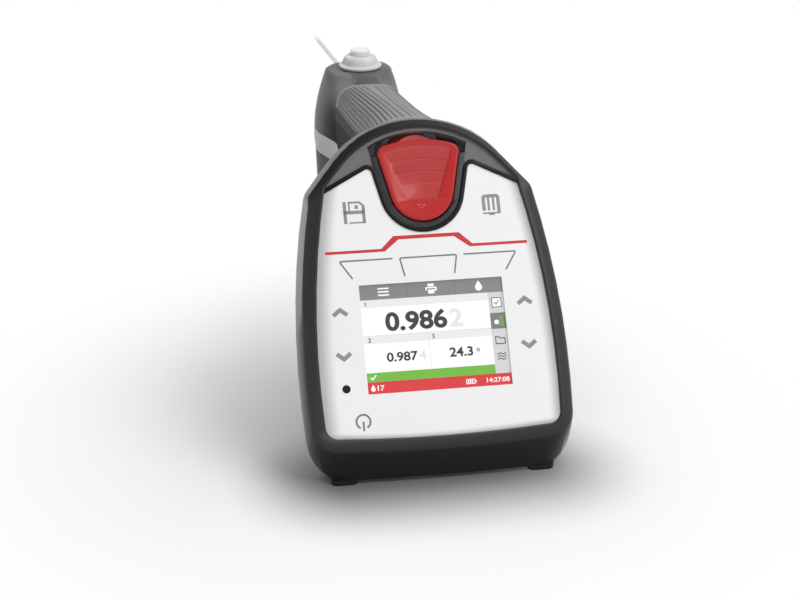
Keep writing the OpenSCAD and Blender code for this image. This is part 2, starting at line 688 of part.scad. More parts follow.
module plunger_sleeve() color([0.74, 0.1, 0.12]) difference() {
  along(-pad_t) cylinder(d = sleeve_d, h = sleeve_end + pad_t);
  along(sleeve_floor) cylinder(d = sleeve_d - 2 * sleeve_wall, h = sleeve_end);
  along(sleeve_floor - 3.6) cylinder(d = rod_d + 2 * run, h = 10);
  on_panel() slab(pad_rise - pad_t, far) square(2 * far, center = true);
}
module piston_rod() color([0.75, 0.76, 0.78]) along(sleeve_floor - 3.5)
  cylinder(d = rod_d, h = piston_s + piston_len / 2 - sleeve_floor + 3.4);
module piston() color([0.85, 0.85, 0.82]) along(piston_s) difference() {
  cylinder(d = pump_bore - 2 * run, h = piston_len);
  translate([0, 0, -1]) cylinder(d = rod_d + 2 * run, h = 1 + piston_len / 2);
  translate([0, 0, piston_len - 3.4]) ring_part(pump_bore + 1, pump_bore - 3.6, 2.2);
}
module piston_seal() color([0.06, 0.06, 0.06]) along(piston_s + piston_len - 3.35)
  ring_part(pump_bore - run, pump_bore - 3.55, 2.1);
module guide_bush() color([0.85, 0.85, 0.85]) along(bush_s)
  ring_part(grip_bore - slack, sleeve_d + 2 * run, bush_len);
module pump_cylinder() color([0.85, 0.86, 0.88]) along(cylinder_s) difference() {
  union() {
    cylinder(d = cylinder_d, h = cylinder_len);
    cylinder(d = grip_bore - slack, h = flange_len);
  }
  translate([0, 0, cylinder_wall]) cylinder(d = pump_bore, h = cylinder_len);
  translate([0, 0, -1]) cylinder(d = rod_d + 2 * run, h = cylinder_wall + 2);
}
module cylinder_cap() color([0.3, 0.3, 0.32]) along(cap_s) difference() {
  union() {
    cylinder(d = grip_bore - slack, h = flange_len);
    translate([0, 0, -2]) cylinder(d = pump_bore - 2 * run, h = 3);
    cylinder(d = nipple_d, h = flange_len + nipple_len);
  }
  translate([0, 0, -3]) cylinder(d = nipple_bore, h = flange_len + nipple_len + 4);
}
// Return spring between the sleeve's floor and the cylinder's front
spring_s0 = sleeve_floor + spring_wire / 2 + 0.1;
spring_s1 = cylinder_s - spring_wire / 2 - 0.1;
spring_rings = 12 * spring_turns;
function spring_ring(j) = let (t = j / spring_rings, a = 360 * spring_turns * t)
  [for (i = [0:5]) let (q = 60 * i, r = spring_mean_d / 2 + spring_wire / 2 * cos(q))
    [r * cos(a), r * sin(a), spring_s0 + (spring_s1 - spring_s0) * t + spring_wire / 2 * sin(q)]];
module return_spring() color([0.7, 0.7, 0.7]) along(0) loft([for (j = [spring_rings:-1:0]) spring_ring(j)]);
module inner_hose() color([0.9, 0.9, 0.88]) difference() {
  along(cap_s + flange_len + 0.2) ring_part(hose_d, nipple_d + 2 * run, 60);
  translate([-far, block_y[0] - 0.4, -far]) cube(2 * far);
}

// Nose and leg: level sections with a round back, hollow flanks and a flat front
function ease(t) = t * t * (3 - 2 * t);
function nose_ring(half_w, front_w, front, back, z) =
  let (half = concat(
    [[0, front], [front_w / 2, front]],
    [for (t = [0:0.2:0.8]) [front_w + (half_w - front_w) * ease(t), front + (nose_wide_y - front) * t]],
    [for (a = [0:11.25:89])
      [half_w * bend(cos(a), grip_round), nose_wide_y + (back - nose_wide_y) * bend(sin(a), grip_round)]],
    [[0, back]]))
  flat_ring(mirrored(half), z);
// Half width of the grip's end where it meets the nose, at a height
function front_half(z) =
  let (up = (z - grip_end_z) / grip_rise, low = (grip_end_z - z) / (grip_end_z - collar_top))
  z > grip_end_z
    ? nose_front_w * pow(max(0.001, 1 - pow(up, 2 / nose_round)), nose_round / 2)
    : nose_front_w - front_draw * low * low;
function nose_level(t) = nose_half_w + (nose_top_half_w - nose_half_w) * pow(t, 1.7);
// Crown of the nose: share of its height, inset of the sides, draw back and half width of the front
crown = [[0.3, 0.9, 0.5, 5.4], [0.6, 2.2, 2, 5], [0.85, 3.6, 5, 5], [1, 5.2, 9, 5.4]];
module nose_outer() loft([
  for (t = [0, 0.25, 0.5, 0.7, 0.86, 1])
    let (z = collar_top + (edge_z - collar_top) * t)
    nose_ring(nose_level(t), front_half(z), -nose_front, nose_back - nose_draw * t * t, z),
  for (c = crown)
    nose_ring(nose_top_half_w - c[1], c[3], c[2] - nose_front, nose_back - nose_draw - 1.3 * c[1],
      edge_z + crown_h * c[0])]);
module cell_room(z0, z1) translate([-cell_room_half_w, room_y[0], z0])
  cube([2 * cell_room_half_w, room_y[1] - room_y[0], z1 - z0]);
module nose_shell() color([0.27, 0.27, 0.28]) difference() {
  nose_outer();
  cell_room(collar_top - 1, room_top);
  translate([0, 0, room_top - 1]) cylinder(d = spigot_d + slack, h = nose_roof + 2);
  along(grip_len - 8) cylinder(d = hose_d + 1, h = 20);
  on_tube() translate([0, 0, -12]) cylinder(d = inlet_shank_d + slack, h = 30);
  on_tube() cylinder(d = inlet_flange_d + 2 * slack, h = 30);
}
// Level section of the collar and the leg, drawn in by g
function leg_ring(g, z) =
  nose_ring(nose_half_w - g, nose_front_w - front_draw - g, max(g, 0) - nose_front, nose_back - g, z);
module cell_collar() color([0.66, 0.66, 0.66]) difference() {
  loft([
    leg_ring(0.4, leg_top),
    leg_ring(-0.2, leg_top + collar_h / 2),
    leg_ring(0, collar_top)]);
  cell_room(leg_top - 1, collar_top + 1);
}
module leg_shell() color([0.22, 0.22, 0.23]) difference() {
  loft([
    leg_ring(3.6, foot_t),
    leg_ring(2.4, foot_t + 2),
    leg_ring(0.4, leg_top)]);
  cell_room(foot_t + leg_floor, leg_top + 1);
}
module rear_foot() color([0.07, 0.07, 0.07]) linear_extrude(foot_t)
  polygon([for (p = leg_ring(5, 0)) [p[0], p[1]]]);

// Measuring cell
module cell_block() color([0.86, 0.85, 0.8]) difference() {
  union() {
    translate([-block_half_w, block_y[0], block_bottom])
      cube([2 * block_half_w, block_y[1] - block_y[0], room_top - block_bottom]);
    intersection() {
      along(grip_len - 6) cylinder(d = nipple_d, h = 30);
      translate([-10, -nose_front + 1, 0]) cube([20, nose_front + block_y[0] + 1, 150]);
    }
  }
  translate([0, 0, room_top - 8]) cylinder(d = port_bore, h = 20);
  along(grip_len - 12) cylinder(d = nipple_bore, h = 24);
  on_tube() translate([0, 0, -inlet_shank_len - 14]) cylinder(d = inlet_bore, h = 40);
  on_tube() translate([0, 0, -inlet_shank_len - slack]) cylinder(d = inlet_shank_d + slack, h = 40);
  for (s = [-1, 1]) translate([s * cell_half, cell_y, block_bottom - 1]) cylinder(d = cell_bore, h = 8);
}
module measuring_cell() color([0.8, 0.9, 0.95, 0.5]) translate([0, cell_y, 0]) {
  for (s = [-1, 1]) translate([s * cell_half, 0, cell_low + cell_half])
    ring_part(cell_d, cell_bore, block_bottom - cell_low - cell_half);
  translate([0, 0, cell_low + cell_half]) rotate([90, 0, 0]) rotate([0, 0, 180])
    rotate_extrude(angle = 180) translate([cell_half, 0]) difference() {
      circle(d = cell_d);
      circle(d = cell_bore);
    }
}
module cell_board() color([0.1, 0.4, 0.25]) translate([-block_half_w, cell_board_y - board_t, cell_low - 6])
  cube([2 * block_half_w, board_t, block_bottom - cell_low + 6]);
module exciter_coil() color([0.72, 0.4, 0.2]) translate([0, cell_board_y, cell_low]) rotate([-90, 0, 0])
  ring_part(coil_d, 3, coil_len);
module cell_magnet() color([0.6, 0.6, 0.62]) translate([0, cell_y - cell_d / 2 - magnet_t, cell_low])
  rotate([-90, 0, 0]) cylinder(d = magnet_d, h = magnet_t);

// Rinsing port on the nose: spigot, cap with two thumb notches, and a white plug that swivels in the cap
module port_seat() color([0.55, 0.55, 0.56]) difference() {
  translate([0, 0, room_top]) cylinder(d = spigot_d, h = seal_z - 0.05 - room_top);
  translate([0, 0, room_top - 1]) cylinder(d = port_bore, h = 30);
}
module port_cap() color([0.72, 0.72, 0.72]) difference() {
  translate([0, 0, cap_z]) rotate_extrude() polygon([
    [0, 0], [cap_d / 2 - 0.3, 0], [cap_d / 2, 0.4], [cap_d / 2, cap_flange_t - 0.3],
    [cap_d / 2 - 0.4, cap_flange_t], [dome_d / 2, cap_flange_t + 0.2],
    [dome_d / 2 - 0.4, cap_flange_t + 1.8], [dome_d / 2 - 1, cap_h - 1.2],
    [dome_d / 2 - 2, cap_h - 0.3], [dome_d / 2 - 3, cap_h], [0, cap_h]]);
  translate([0, 0, cap_z - 1]) cylinder(d = spigot_d + 2 * run, h = cap_h - cap_roof + 1);
  cylinder(d = plug_neck_d + 2 * run, h = cap_z + cap_h + 1);
  for (i = [0:lobes - 1]) rotate([0, 0, 180 + 360 * i / lobes])
    translate([dome_d / 2 + lobe_d / 2 - 1.2, 0, cap_z + cap_flange_t + 0.1]) cylinder(d = lobe_d, h = cap_h);
}
module port_plug() color([0.95, 0.95, 0.95]) {
  top = cap_z + cap_h;
  flange_z = top - cap_roof - plug_flange_t - 0.1;
  translate([0, 0, top + 0.1]) cylinder(d = plug_d, h = plug_h - cap_h - 0.7);
  translate([0, 0, top + plug_h - cap_h - 0.6]) cylinder(d1 = plug_d, d2 = plug_d - 1.4, h = 0.6);
  translate([0, 0, flange_z]) cylinder(d = plug_neck_d, h = cap_roof + plug_flange_t + 0.3);
  translate([0, 0, flange_z]) cylinder(d = spigot_d - 0.5, h = plug_flange_t);
  translate([0, 0, room_top - 4]) cylinder(d = plug_stem_d, h = flange_z - room_top + 4.2);
}
module plug_seal() color([0.1, 0.1, 0.1]) translate([0, 0, seal_z])
  ring_part(spigot_d - 0.8, plug_stem_d + 0.1, seal_t);

// Inlet and filling tube
module inlet_fitting() color([0.8, 0.8, 0.76]) on_tube() difference() {
  union() {
    translate([0, 0, -inlet_shank_len]) cylinder(d = inlet_shank_d, h = inlet_shank_len + 1);
    cylinder(d = inlet_flange_d, h = inlet_flange_t);
    cylinder(d = inlet_spigot_d, h = inlet_flange_t + inlet_spigot_len);
  }
  translate([0, 0, -inlet_shank_len - 1]) cylinder(d = inlet_bore, h = 40);
  translate([0, 0, inlet_flange_t + inlet_spigot_len - 2])
    cylinder(d1 = inlet_bore, d2 = ferrule_d + 0.3, h = 2.1);
}
module filling_tube() color([0.9, 0.93, 0.95, 0.45]) on_tube() translate([0, 0, -tube_in])
  ring_part(tube_d, tube_bore, tube_len + tube_in);
module tube_ferrule() color([0.9, 0.85, 0.6]) on_tube()
  translate([0, 0, inlet_flange_t + inlet_spigot_len + slack])
    ring_part(ferrule_d, tube_d + 2 * run, ferrule_len);
module tube_nut() color([0.25, 0.25, 0.26]) on_tube() translate([0, 0, nut_s]) difference() {
  cylinder(d = nut_d, h = nut_len);
  translate([0, 0, -1]) cylinder(d = inlet_spigot_d + 2 * run, h = 1 + nut_len - 3);
  cylinder(d = tube_d + 2 * run, h = nut_len + 1);
  for (i = [0:11]) rotate([0, 0, 30 * i]) translate([nut_d / 2 + 0.3, 0, -1])
    cylinder(d = 1.6, h = nut_len + 2);
}

bumper_frame();
front_plate();
keypad_foil();
panel_gasket();
thumb_well();
display_window();
lcd_module();
main_board();
key_switches();
light_sensor();
rear_shell();
housing_screws();
battery_cells();
battery_contacts();
battery_door();
front_feet();
grip_cover();
grip_shell();
guide_bush();
pump_cylinder();
cylinder_cap();
return_spring();
inner_hose();
pump_button();
plunger_sleeve();
piston_rod();
piston();
piston_seal();
nose_shell();
cell_collar();
leg_shell();
rear_foot();
cell_block();
measuring_cell();
cell_board();
exciter_coil();
cell_magnet();
port_seat();
port_cap();
port_plug();
plug_seal();
inlet_fitting();
filling_tube();
tube_ferrule();
tube_nut();
for (k = KEYS) key(k[1]);
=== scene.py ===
"""Looks of the portable density meter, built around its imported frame. Lengths are metres unless named in mm."""
import json
import math

import bmesh
import bpy
from mathutils import Matrix, Vector


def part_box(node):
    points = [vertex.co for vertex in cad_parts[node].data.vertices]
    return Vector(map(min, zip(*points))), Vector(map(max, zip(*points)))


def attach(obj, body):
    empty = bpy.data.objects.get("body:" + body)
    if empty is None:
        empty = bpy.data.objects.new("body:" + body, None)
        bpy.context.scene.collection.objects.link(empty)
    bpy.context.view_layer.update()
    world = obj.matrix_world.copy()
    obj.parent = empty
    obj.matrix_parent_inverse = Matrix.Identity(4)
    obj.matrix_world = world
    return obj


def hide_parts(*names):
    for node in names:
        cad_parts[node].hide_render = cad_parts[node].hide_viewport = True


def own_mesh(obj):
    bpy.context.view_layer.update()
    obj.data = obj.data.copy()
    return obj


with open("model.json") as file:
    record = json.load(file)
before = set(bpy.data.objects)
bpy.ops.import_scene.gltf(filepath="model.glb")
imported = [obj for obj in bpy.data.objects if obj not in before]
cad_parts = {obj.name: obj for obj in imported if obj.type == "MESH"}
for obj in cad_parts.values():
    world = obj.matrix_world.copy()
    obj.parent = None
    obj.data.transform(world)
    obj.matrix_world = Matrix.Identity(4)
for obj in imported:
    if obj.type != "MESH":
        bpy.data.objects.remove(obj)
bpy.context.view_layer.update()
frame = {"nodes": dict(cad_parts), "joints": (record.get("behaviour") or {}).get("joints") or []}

MM = 0.001
NODES = frame["nodes"]
JOINTS = {joint["name"]: joint for joint in frame["joints"]}

# Directions of the object: right, up the panel, out of the panel, and along the grip towards the nose
RIGHT = Vector((1, 0, 0))
UP = Vector(JOINTS["door_slide"]["axis"]).normalized()
OUT = -Vector(JOINTS["press_power"]["axis"]).normalized()
GRIP_AXIS = Vector(JOINTS["pump_press"]["axis"]).normalized()


def middle(node):
    """Centre of a frame node's box."""
    low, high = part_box(node)
    return (low + high) / 2


def frame_at(origin, x, y, z):
    """Placing matrix of a local frame."""
    return Matrix.Translation(origin) @ Matrix((x, y, z)).transposed().to_4x4()


# The panel's frame has its origin on the foil's face, at the centre of the screen
FOIL_T = 0.6 * MM
SCREEN = middle("display_window") + OUT * FOIL_T / 2
PANEL = frame_at(SCREEN, RIGHT, UP, OUT)


class Tone:
    """A socket of a material's nodes. Arithmetic on tones adds Math nodes."""

    def __init__(self, tree, socket):
        self.tree = tree
        self.socket = socket

    def add(self, kind, settings=None, sockets=None, output=0):
        """Adds a node: its settings first, then the values or links of its sockets. Gives one output."""
        made = self.tree.nodes.new(kind)
        for name, value in (settings or {}).items():
            setattr(made, name, value)
        for name, value in (sockets or {}).items():
            join(made.inputs[name], value)
        return Tone(self.tree, made.outputs[output])

    def math(self, operation, *values):
        return self.add("ShaderNodeMath", {"operation": operation}, dict(enumerate(values)))

    def __add__(self, other):
        return self.math("ADD", self, other)

    def __radd__(self, other):
        return self.math("ADD", other, self)

    def __sub__(self, other):
        return self.math("SUBTRACT", self, other)

    def __rsub__(self, other):
        return self.math("SUBTRACT", other, self)

    def __mul__(self, other):
        return self.math("MULTIPLY", self, other)

    def __rmul__(self, other):
        return self.math("MULTIPLY", other, self)

    def __truediv__(self, other):
        return self.math("DIVIDE", self, other)

    def __rtruediv__(self, other):
        return self.math("DIVIDE", other, self)

    def clamped(self):
        return self.add("ShaderNodeClamp", None, {"Value": self})

    def between(self, low, high):
        """0 below low, 1 above high, smooth between."""
        return self.add("ShaderNodeMapRange", {"interpolation_type": "SMOOTHSTEP"},
                        {"Value": self, "From Min": low, "From Max": high})

    def blend(self, first, second):
        """Colour first where this tone is 0, second where it is 1."""
        return self.add("ShaderNodeMix", {"data_type": "RGBA"}, {"Factor": self, 6: first, 7: second}, 2)


def join(socket, value):
    """Links a tone to a socket, or sets the socket's own value."""
    if isinstance(value, Tone):
        value.tree.links.new(value.socket, socket)
    else:
        socket.default_value = value


def srgb(red, green=None, blue=None):
    """Linear colour of 0 to 255 screen values."""
    values = [red, red if green is None else green, red if blue is None else blue]
    linear = [v / 255 / 12.92 if v <= 10 else ((v / 255 + 0.055) / 1.055) ** 2.4 for v in values]
    return (*linear, 1.0)


def scaled(colour, factor):
    return (*[min(1.0, c * factor) for c in colour[:3]], 1.0)


def surface(name, **sockets):
    """A new material with a Principled shader. Gives it, its shader and the place of a point in object space."""
    made = bpy.data.materials.new(name)
    made.use_nodes = True
    shader = made.node_tree.nodes["Principled BSDF"]
    for socket, value in sockets.items():
        shader.inputs[socket.replace("_", " ")].default_value = value
    place = Tone(made.node_tree, made.node_tree.nodes.new("ShaderNodeTexCoord").outputs["Object"])
    return made, shader, place


def noise(place, size_mm, detail=2.0, rough=0.5):
    """Noise whose spots are about size_mm across."""
    return place.add("ShaderNodeTexNoise", None,
                     {"Vector": place, "Scale": 1 / (size_mm * MM), "Detail": detail, "Roughness": rough}, "Fac")


def bumped(shader, height, depth_mm, normal=None):
    """Raises the shader's surface by a height tone of 0 to 1, over a normal other than the mesh's if one is given."""
    sockets = {"Height": height, "Distance": depth_mm * MM}
    if normal:
        sockets["Normal"] = normal
    join(shader.inputs["Normal"], height.add("ShaderNodeBump", None, sockets))


def leaning(share, way):
    """The mesh's normal with a share of the vector way added, so that it leans over to that side."""
    normal = share.add("ShaderNodeNewGeometry", None, None, "Normal")
    tipped = share.add("ShaderNodeVectorMath", {"operation": "MULTIPLY_ADD"}, {0: way, 1: share, 2: normal})
    return tipped.add("ShaderNodeVectorMath", {"operation": "NORMALIZE"}, {0: tipped})


def in_sight(tree):
    """1 where the camera, a reflection or a clear piece looks at a surface, 0 where only its light counts."""
    path = tree.nodes.new("ShaderNodeLightPath")
    seen = Tone(tree, path.outputs["Is Camera Ray"])
    for ray in ("Is Glossy Ray", "Is Transmission Ray"):
        seen = seen.math("MAXIMUM", seen, Tone(tree, path.outputs[ray]))
    return seen


# Moulded finishes: the size of their clouds of tone in mm, how much clouds and grain move tone and gloss, and the
# share of its colour that a wall with painted shade keeps
CLOUD_MM = 14
CLOUD_TONE, GRAIN_TONE = 0.7, 0.5
CLOUD_GLOSS, GRAIN_GLOSS = 0.08, 0.14
PAINTED_SHADE_SHARE = 0.4


def moulded(name, colour, rough, grain_mm=0.35, depth_mm=0.012, drift=0.10, painted_light=None, painted_light_colour=None, lean=None,
            shade=None, **sockets):
    """Moulded plastic or elastomer with an eroded grain and a faint drift of tone and gloss.

    Where its mask of painted light is 1 it has the painted colour given, which is painted shade or a painted
    highlight, and its face leans over by the vector lean. Where shade(place) is 1 it is darker by painted shade.
    """
    made, shader, place = surface(name, **sockets)
    grain = noise(place, grain_mm, 3.0, 0.6)
    cloud = noise(place, CLOUD_MM, 3.0)
    tone = (cloud - 0.5) * CLOUD_TONE + (grain - 0.5) * GRAIN_TONE + 0.5
    paint = tone.clamped().blend(scaled(colour, 1 - drift), scaled(colour, 1 + drift))
    # Painted shade on walls that get little light, where the shade mask is 1
    if shade:
        paint = shade(place).blend(paint, scaled(colour, PAINTED_SHADE_SHARE))
    # Painted shade or painted highlight, where its mask is 1
    painted_light_share = painted_light(place) if painted_light else None
    if painted_light_share:
        paint = painted_light_share.blend(paint, painted_light_colour)
    join(shader.inputs["Base Color"], paint)
    gloss = rough + (grain - 0.5) * GRAIN_GLOSS + (cloud - 0.5) * CLOUD_GLOSS
    join(shader.inputs["Roughness"], gloss.clamped())
    bumped(shader, grain, depth_mm, leaning(painted_light_share, lean) if lean else None)
    return made


def printed(name, colour, rough=0.42, glow=0.0):
    """Screen-printed ink: a thin film with a slightly uneven edge gloss, lit from behind by glow."""
    made, shader, place = surface(name, Emission_Color=colour, Emission_Strength=glow)
    film = noise(place, 0.8, 2.0)
    join(shader.inputs["Base Color"], film.blend(scaled(colour, 0.96), scaled(colour, 1.04)))
    join(shader.inputs["Roughness"], rough + (film - 0.5) * 0.1)
    return made


def metal(name, colour, rough, line_mm=0.12):
    """Turned or drawn metal with fine lines."""
    made, shader, place = surface(name, Metallic=1.0)
    lines = noise(place, line_mm, 4.0, 0.7)
    join(shader.inputs["Base Color"], lines.blend(scaled(colour, 0.88), scaled(colour, 1.08)))
    join(shader.inputs["Roughness"], rough + (lines - 0.5) * 0.16)
    bumped(shader, lines, 0.004)
    return made


def clear(name, colour, alpha, rough=0.05, edge=0.0):
    """Clear glass or plastic, drawn as a thin see-through film with its own gloss, denser by edge at its outline."""
    made, shader, place = surface(name, Base_Color=colour, IOR=1.5)
    smear = noise(place, 9, 3.0)
    facing = place.add("ShaderNodeLayerWeight", None, {"Blend": 0.35}, "Facing")
    join(shader.inputs["Alpha"], (alpha + facing * edge).clamped())
    join(shader.inputs["Roughness"], rough + smear * 0.06)
    return made


# The grip's section as the frame has it: half width and rise, their change along the grip, and its ribs, in mm
GRIP_W, GRIP_RISE, ROOT_GAIN, ROOT_LEN, NOSE_PINCH = 15.6, 15.6, 5.4, 60, 1.0
GRIP_POWER, NOSE_POWER = 0.84, 0.56
RIB_TURNS = 48
RIBS_FROM, RIBS_TO, RIBS_FADE = 20.0, 4.0, 3.0
# The turn about the grip, in radians, over which its lowest rib ends
LOWEST_RIB = (0.1, 0.14)


def along_way(place, origin, way):
    """How far, in mm, a point lies from an origin along a direction."""
    reach = place.add("ShaderNodeVectorMath", {"operation": "DOT_PRODUCT"}, {0: place, 1: way}, "Value")
    return (reach - origin.dot(way)) * (1 / MM)


def grip_groove_shade(place):
    """Painted shade: 1 in the grooves between the grip's ribs, 2 below the lowest rib,
    0 on the ribs and where they have run out.
    """
    axis_point = middle("pump_cylinder")
    up = RIGHT.cross(GRIP_AXIS)
    start = axis_point + GRIP_AXIS * ((SCREEN - axis_point).dot(OUT) / GRIP_AXIS.dot(OUT))
    length = (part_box("grip_cover")[1].y - start.y) / GRIP_AXIS.y / MM
    along = along_way(place, start, GRIP_AXIS)
    nosing = ((along - ROOT_LEN) * (1 / (length - ROOT_LEN))).clamped()
    nosing = nosing.math("POWER", nosing, 1.5)
    swell = (1 - along * (1 / ROOT_LEN)).clamped()
    width = GRIP_W + swell * swell * ROOT_GAIN - nosing * NOSE_PINCH
    power = 1 / (GRIP_POWER + nosing * (NOSE_POWER - GRIP_POWER))
    across = along_way(place, start, RIGHT)
    across = across.math("POWER", across.math("ABSOLUTE", across) / width, power)
    rise = along_way(place, start, up) * (1 / GRIP_RISE)
    rise = rise.math("POWER", rise.math("MAXIMUM", rise, 0.0), power)
    turn = rise.math("ARCTAN2", rise, across)
    groove = 0.5 - turn.math("COSINE", turn * RIB_TURNS) * 0.5
    ends = along.between(RIBS_FROM, RIBS_FROM + RIBS_FADE) * (length - RIBS_TO - along).between(0.0, RIBS_FADE)
    ribbed = turn.between(*LOWEST_RIB)
    return groove * ends * ribbed + (1 - ribbed) * 2


# Painted shade on the nose's flanks, in mm: where it starts beside the middle, ends towards the back, and ends upwards
NOSE_SHADE_SIDE, NOSE_SHADE_BACK, NOSE_SHADE_TOP = (9, 13), (-20, -2), (76, 97)
# Where shade is painted on the bumper's lower wall and the hood's front band, in mm up the panel and out of it
WALL_TOP, WALL_FRONT = (-38, -34), (-1.7, -0.7)
BAND_FOOT, BAND_BACK = (52, 62), (-4.2, -3.2)


def nose_painted_shade(place):
    """Painted shade in the hollowed part of the nose's flanks beside the grip, where little light comes: 1 there,
    0 on its top and back.
    """
    side, depth, height = [along_way(place, Vector(), way) for way in Matrix.Identity(3)]
    beside = side.math("ABSOLUTE", side).between(*NOSE_SHADE_SIDE)
    return beside * (1 - depth.between(*NOSE_SHADE_BACK)) * (1 - height.between(*NOSE_SHADE_TOP))


def foot_wall_shade(place):
    """Painted shade on the bumper's lower wall, which faces down: 1 below the edge of its face, 0 above."""
    high, out = along_way(place, SCREEN, UP), along_way(place, SCREEN, OUT)
    return (1 - out.between(*WALL_FRONT)) * (1 - high.between(*WALL_TOP))


def hood_band_shade(place):
    """Painted shade on the hood's front band, round the thumb pad: 1 there, 0 on its outside and on the rest of the
    bumper.
    """
    high, out = along_way(place, SCREEN, UP), along_way(place, SCREEN, OUT)
    return high.between(*BAND_FOOT) * out.between(*BAND_BACK)


# The foil's outline on the panel, in mm: its widest half width and height, how it narrows, and its foot
FOIL_HALF, FOIL_WIDEST_V, FOIL_NARROWS = 44.75, -16.0, 0.00139
FOIL_FOOT, FOIL_FOOT_RISE = -38.0, 0.00113
# How far the painted shade of its edges reaches in, and how much less on the right
SIDE_SHADE, SHADE_SKEW, FOOT_SHADE = 5.8, 0.03, 2.4


def foil_edge_shade(place):
    """Painted shade along the foil's sides and foot, beside the raised rim: 1 at the edges, fading to 0 inside."""
    across, high = along_way(place, SCREEN, RIGHT), along_way(place, SCREEN, UP)
    below = high - FOIL_WIDEST_V
    side = FOIL_HALF - below * below * FOIL_NARROWS - across.math("ABSOLUTE", across)
    foot = high - FOIL_FOOT - across * across * FOIL_FOOT_RISE
    inside = (side / (SIDE_SHADE - across * SHADE_SKEW)).between(0.0, 1.0) * foot.between(0.0, FOOT_SHADE)
    return 1 - inside


# The thumb pad's fan on the panel, in mm: half its width at two heights, the crest and radius of its arched steps
FAN_LOW_U, FAN_LOW_V, FAN_HIGH_U, FAN_HIGH_V = 6.2, 52.2, 13.0, 71.2
FAN_CREST, FAN_ARCH_R, FAN_PITCH, FAN_STEPS = 73.1, 45.0, 4.8, 4
# How much painted sheen the fan has between its steps, and how much painted highlight is added on them
FAN_SHEEN, STEP_HIGHLIGHT = 0.55, 0.45


def pad_fan_sheen(place):
    """Painted sheen on the thumb pad's fan and painted highlights along its arched steps, most on the steps,
    0 on the pad's margin.
    """
    across, high = along_way(place, SCREEN, RIGHT), along_way(place, SCREEN, UP)
    half = FAN_LOW_U + (high - FAN_LOW_V) * ((FAN_HIGH_U - FAN_LOW_U) / (FAN_HIGH_V - FAN_LOW_V))
    arched = FAN_CREST - high - across * across * (0.5 / FAN_ARCH_R)
    inside = (half - across.math("ABSOLUTE", across)).between(0.0, 0.5)
    inside = inside * high.between(FAN_LOW_V - 0.3, FAN_LOW_V + 0.3)
    steps = 0.0
    for count in range(FAN_STEPS):
        gap = arched - count * FAN_PITCH
        steps = steps + (1 - gap.math("ABSOLUTE", gap - 0.5).between(0.1, 0.7))
    return inside * arched.between(-0.3, 0.3) * (FAN_SHEEN + steps * STEP_HIGHLIGHT)


# Finishes, named for the pieces that wear them
# Painted shade on the hood's front band and on the bumper's lower wall
ELASTOMER = moulded("bumper_elastomer", srgb(44, 44, 46), 0.36, 0.3, 0.010, painted_light=hood_band_shade, painted_light_colour=srgb(26, 26, 28),
                    lean=OUT * 3, shade=foot_wall_shade, Specular_IOR_Level=0.3, Sheen_Weight=0.3, Sheen_Roughness=0.35)
HOUSING = moulded("housing_plastic", srgb(60, 60, 62), 0.46, Specular_IOR_Level=0.3)
# Painted shade in the grip's grooves and below its lowest rib
GRIP_RUBBER = moulded("grip_rubber", srgb(134, 134, 136), 0.5, 0.28, 0.010, painted_light=grip_groove_shade,
                      painted_light_colour=srgb(116, 116, 118), lean=Vector((0, -0.6, 0.15)), Specular_IOR_Level=0.3)
# Painted shade on the nose's flanks beside the grip
NOSE_PLASTIC = moulded("nose_plastic", srgb(78, 78, 80), 0.42, painted_light=nose_painted_shade, painted_light_colour=srgb(40, 40, 41),
                       lean=Vector((0, -1.2, 0.3)), Specular_IOR_Level=0.3)
GRIP_PLASTIC = moulded("grip_plastic", srgb(44, 44, 45), 0.75, Specular_IOR_Level=0.08)
PLATE_PLASTIC = moulded("plate_plastic", srgb(108, 108, 110), 0.42, 0.3, 0.006, Specular_IOR_Level=0.3)
COLLAR_PLASTIC = moulded("collar_plastic", srgb(214, 214, 214), 0.48)
# Painted shade along the foil's sides and foot
FOIL = moulded("foil_white", srgb(240, 240, 241), 0.38, 0.18, 0.003, 0.015, painted_light=foil_edge_shade,
               painted_light_colour=srgb(178, 178, 180))
BLACK_RUBBER = moulded("black_rubber", srgb(8, 8, 9), 0.3, 0.25, 0.004, Specular_IOR_Level=0.3)
BEZEL = moulded("bezel_plastic", srgb(52, 53, 55), 0.36, 0.3, 0.006, Specular_IOR_Level=0.3)
WHITE = moulded("white_plastic", srgb(224, 224, 224), 0.35, 0.4, 0.003, 0.02, Specular_IOR_Level=0.3)
PALE_GREY = moulded("port_grey", srgb(204, 204, 204), 0.42, 0.3, 0.004, 0.04)
# Painted sheen on the pad's fan and painted highlights along its steps
RED = moulded("thumb_red", srgb(185, 46, 45), 0.25, 0.5, 0.002, 0.04, painted_light=pad_fan_sheen, painted_light_colour=srgb(184, 74, 74),
              Specular_IOR_Level=0.25, Coat_Weight=0.15, Coat_Roughness=0.08)
SLEEVE_RED = moulded("sleeve_red", srgb(232, 112, 112), 0.5, 0.5, 0.003, 0.04)
STEEL = metal("bright_steel", srgb(200, 200, 204), 0.3)
COPPER = metal("coil_copper", srgb(190, 110, 70), 0.35, 0.3)
BOARD = moulded("board_green", srgb(30, 96, 62), 0.4, 0.5, 0.004)
BATTERY = moulded("cell_jacket", srgb(150, 146, 128), 0.3, 0.6, 0.002)
SENSOR = moulded("sensor_black", srgb(12, 12, 13), 0.25, 0.5, 0.001)
WINDOW = clear("window_clear", (1, 1, 1, 1), 0.012)
GLASS = clear("cell_glass", (0.9, 0.95, 0.98, 1), 0.2, edge=0.5)
TUBE = clear("tube_clear", (0.5, 0.51, 0.53, 1), 0.02, edge=0.45)
HOSE = clear("hose_silicone", (0.85, 0.85, 0.8, 1), 0.8, 0.4)
PANEL_WHITE = moulded("screen_white", srgb(250, 250, 250), 0.45, 0.2, 0.001, 0.005, Emission_Color=(1, 1, 1, 1),
                      Emission_Strength=0.08)

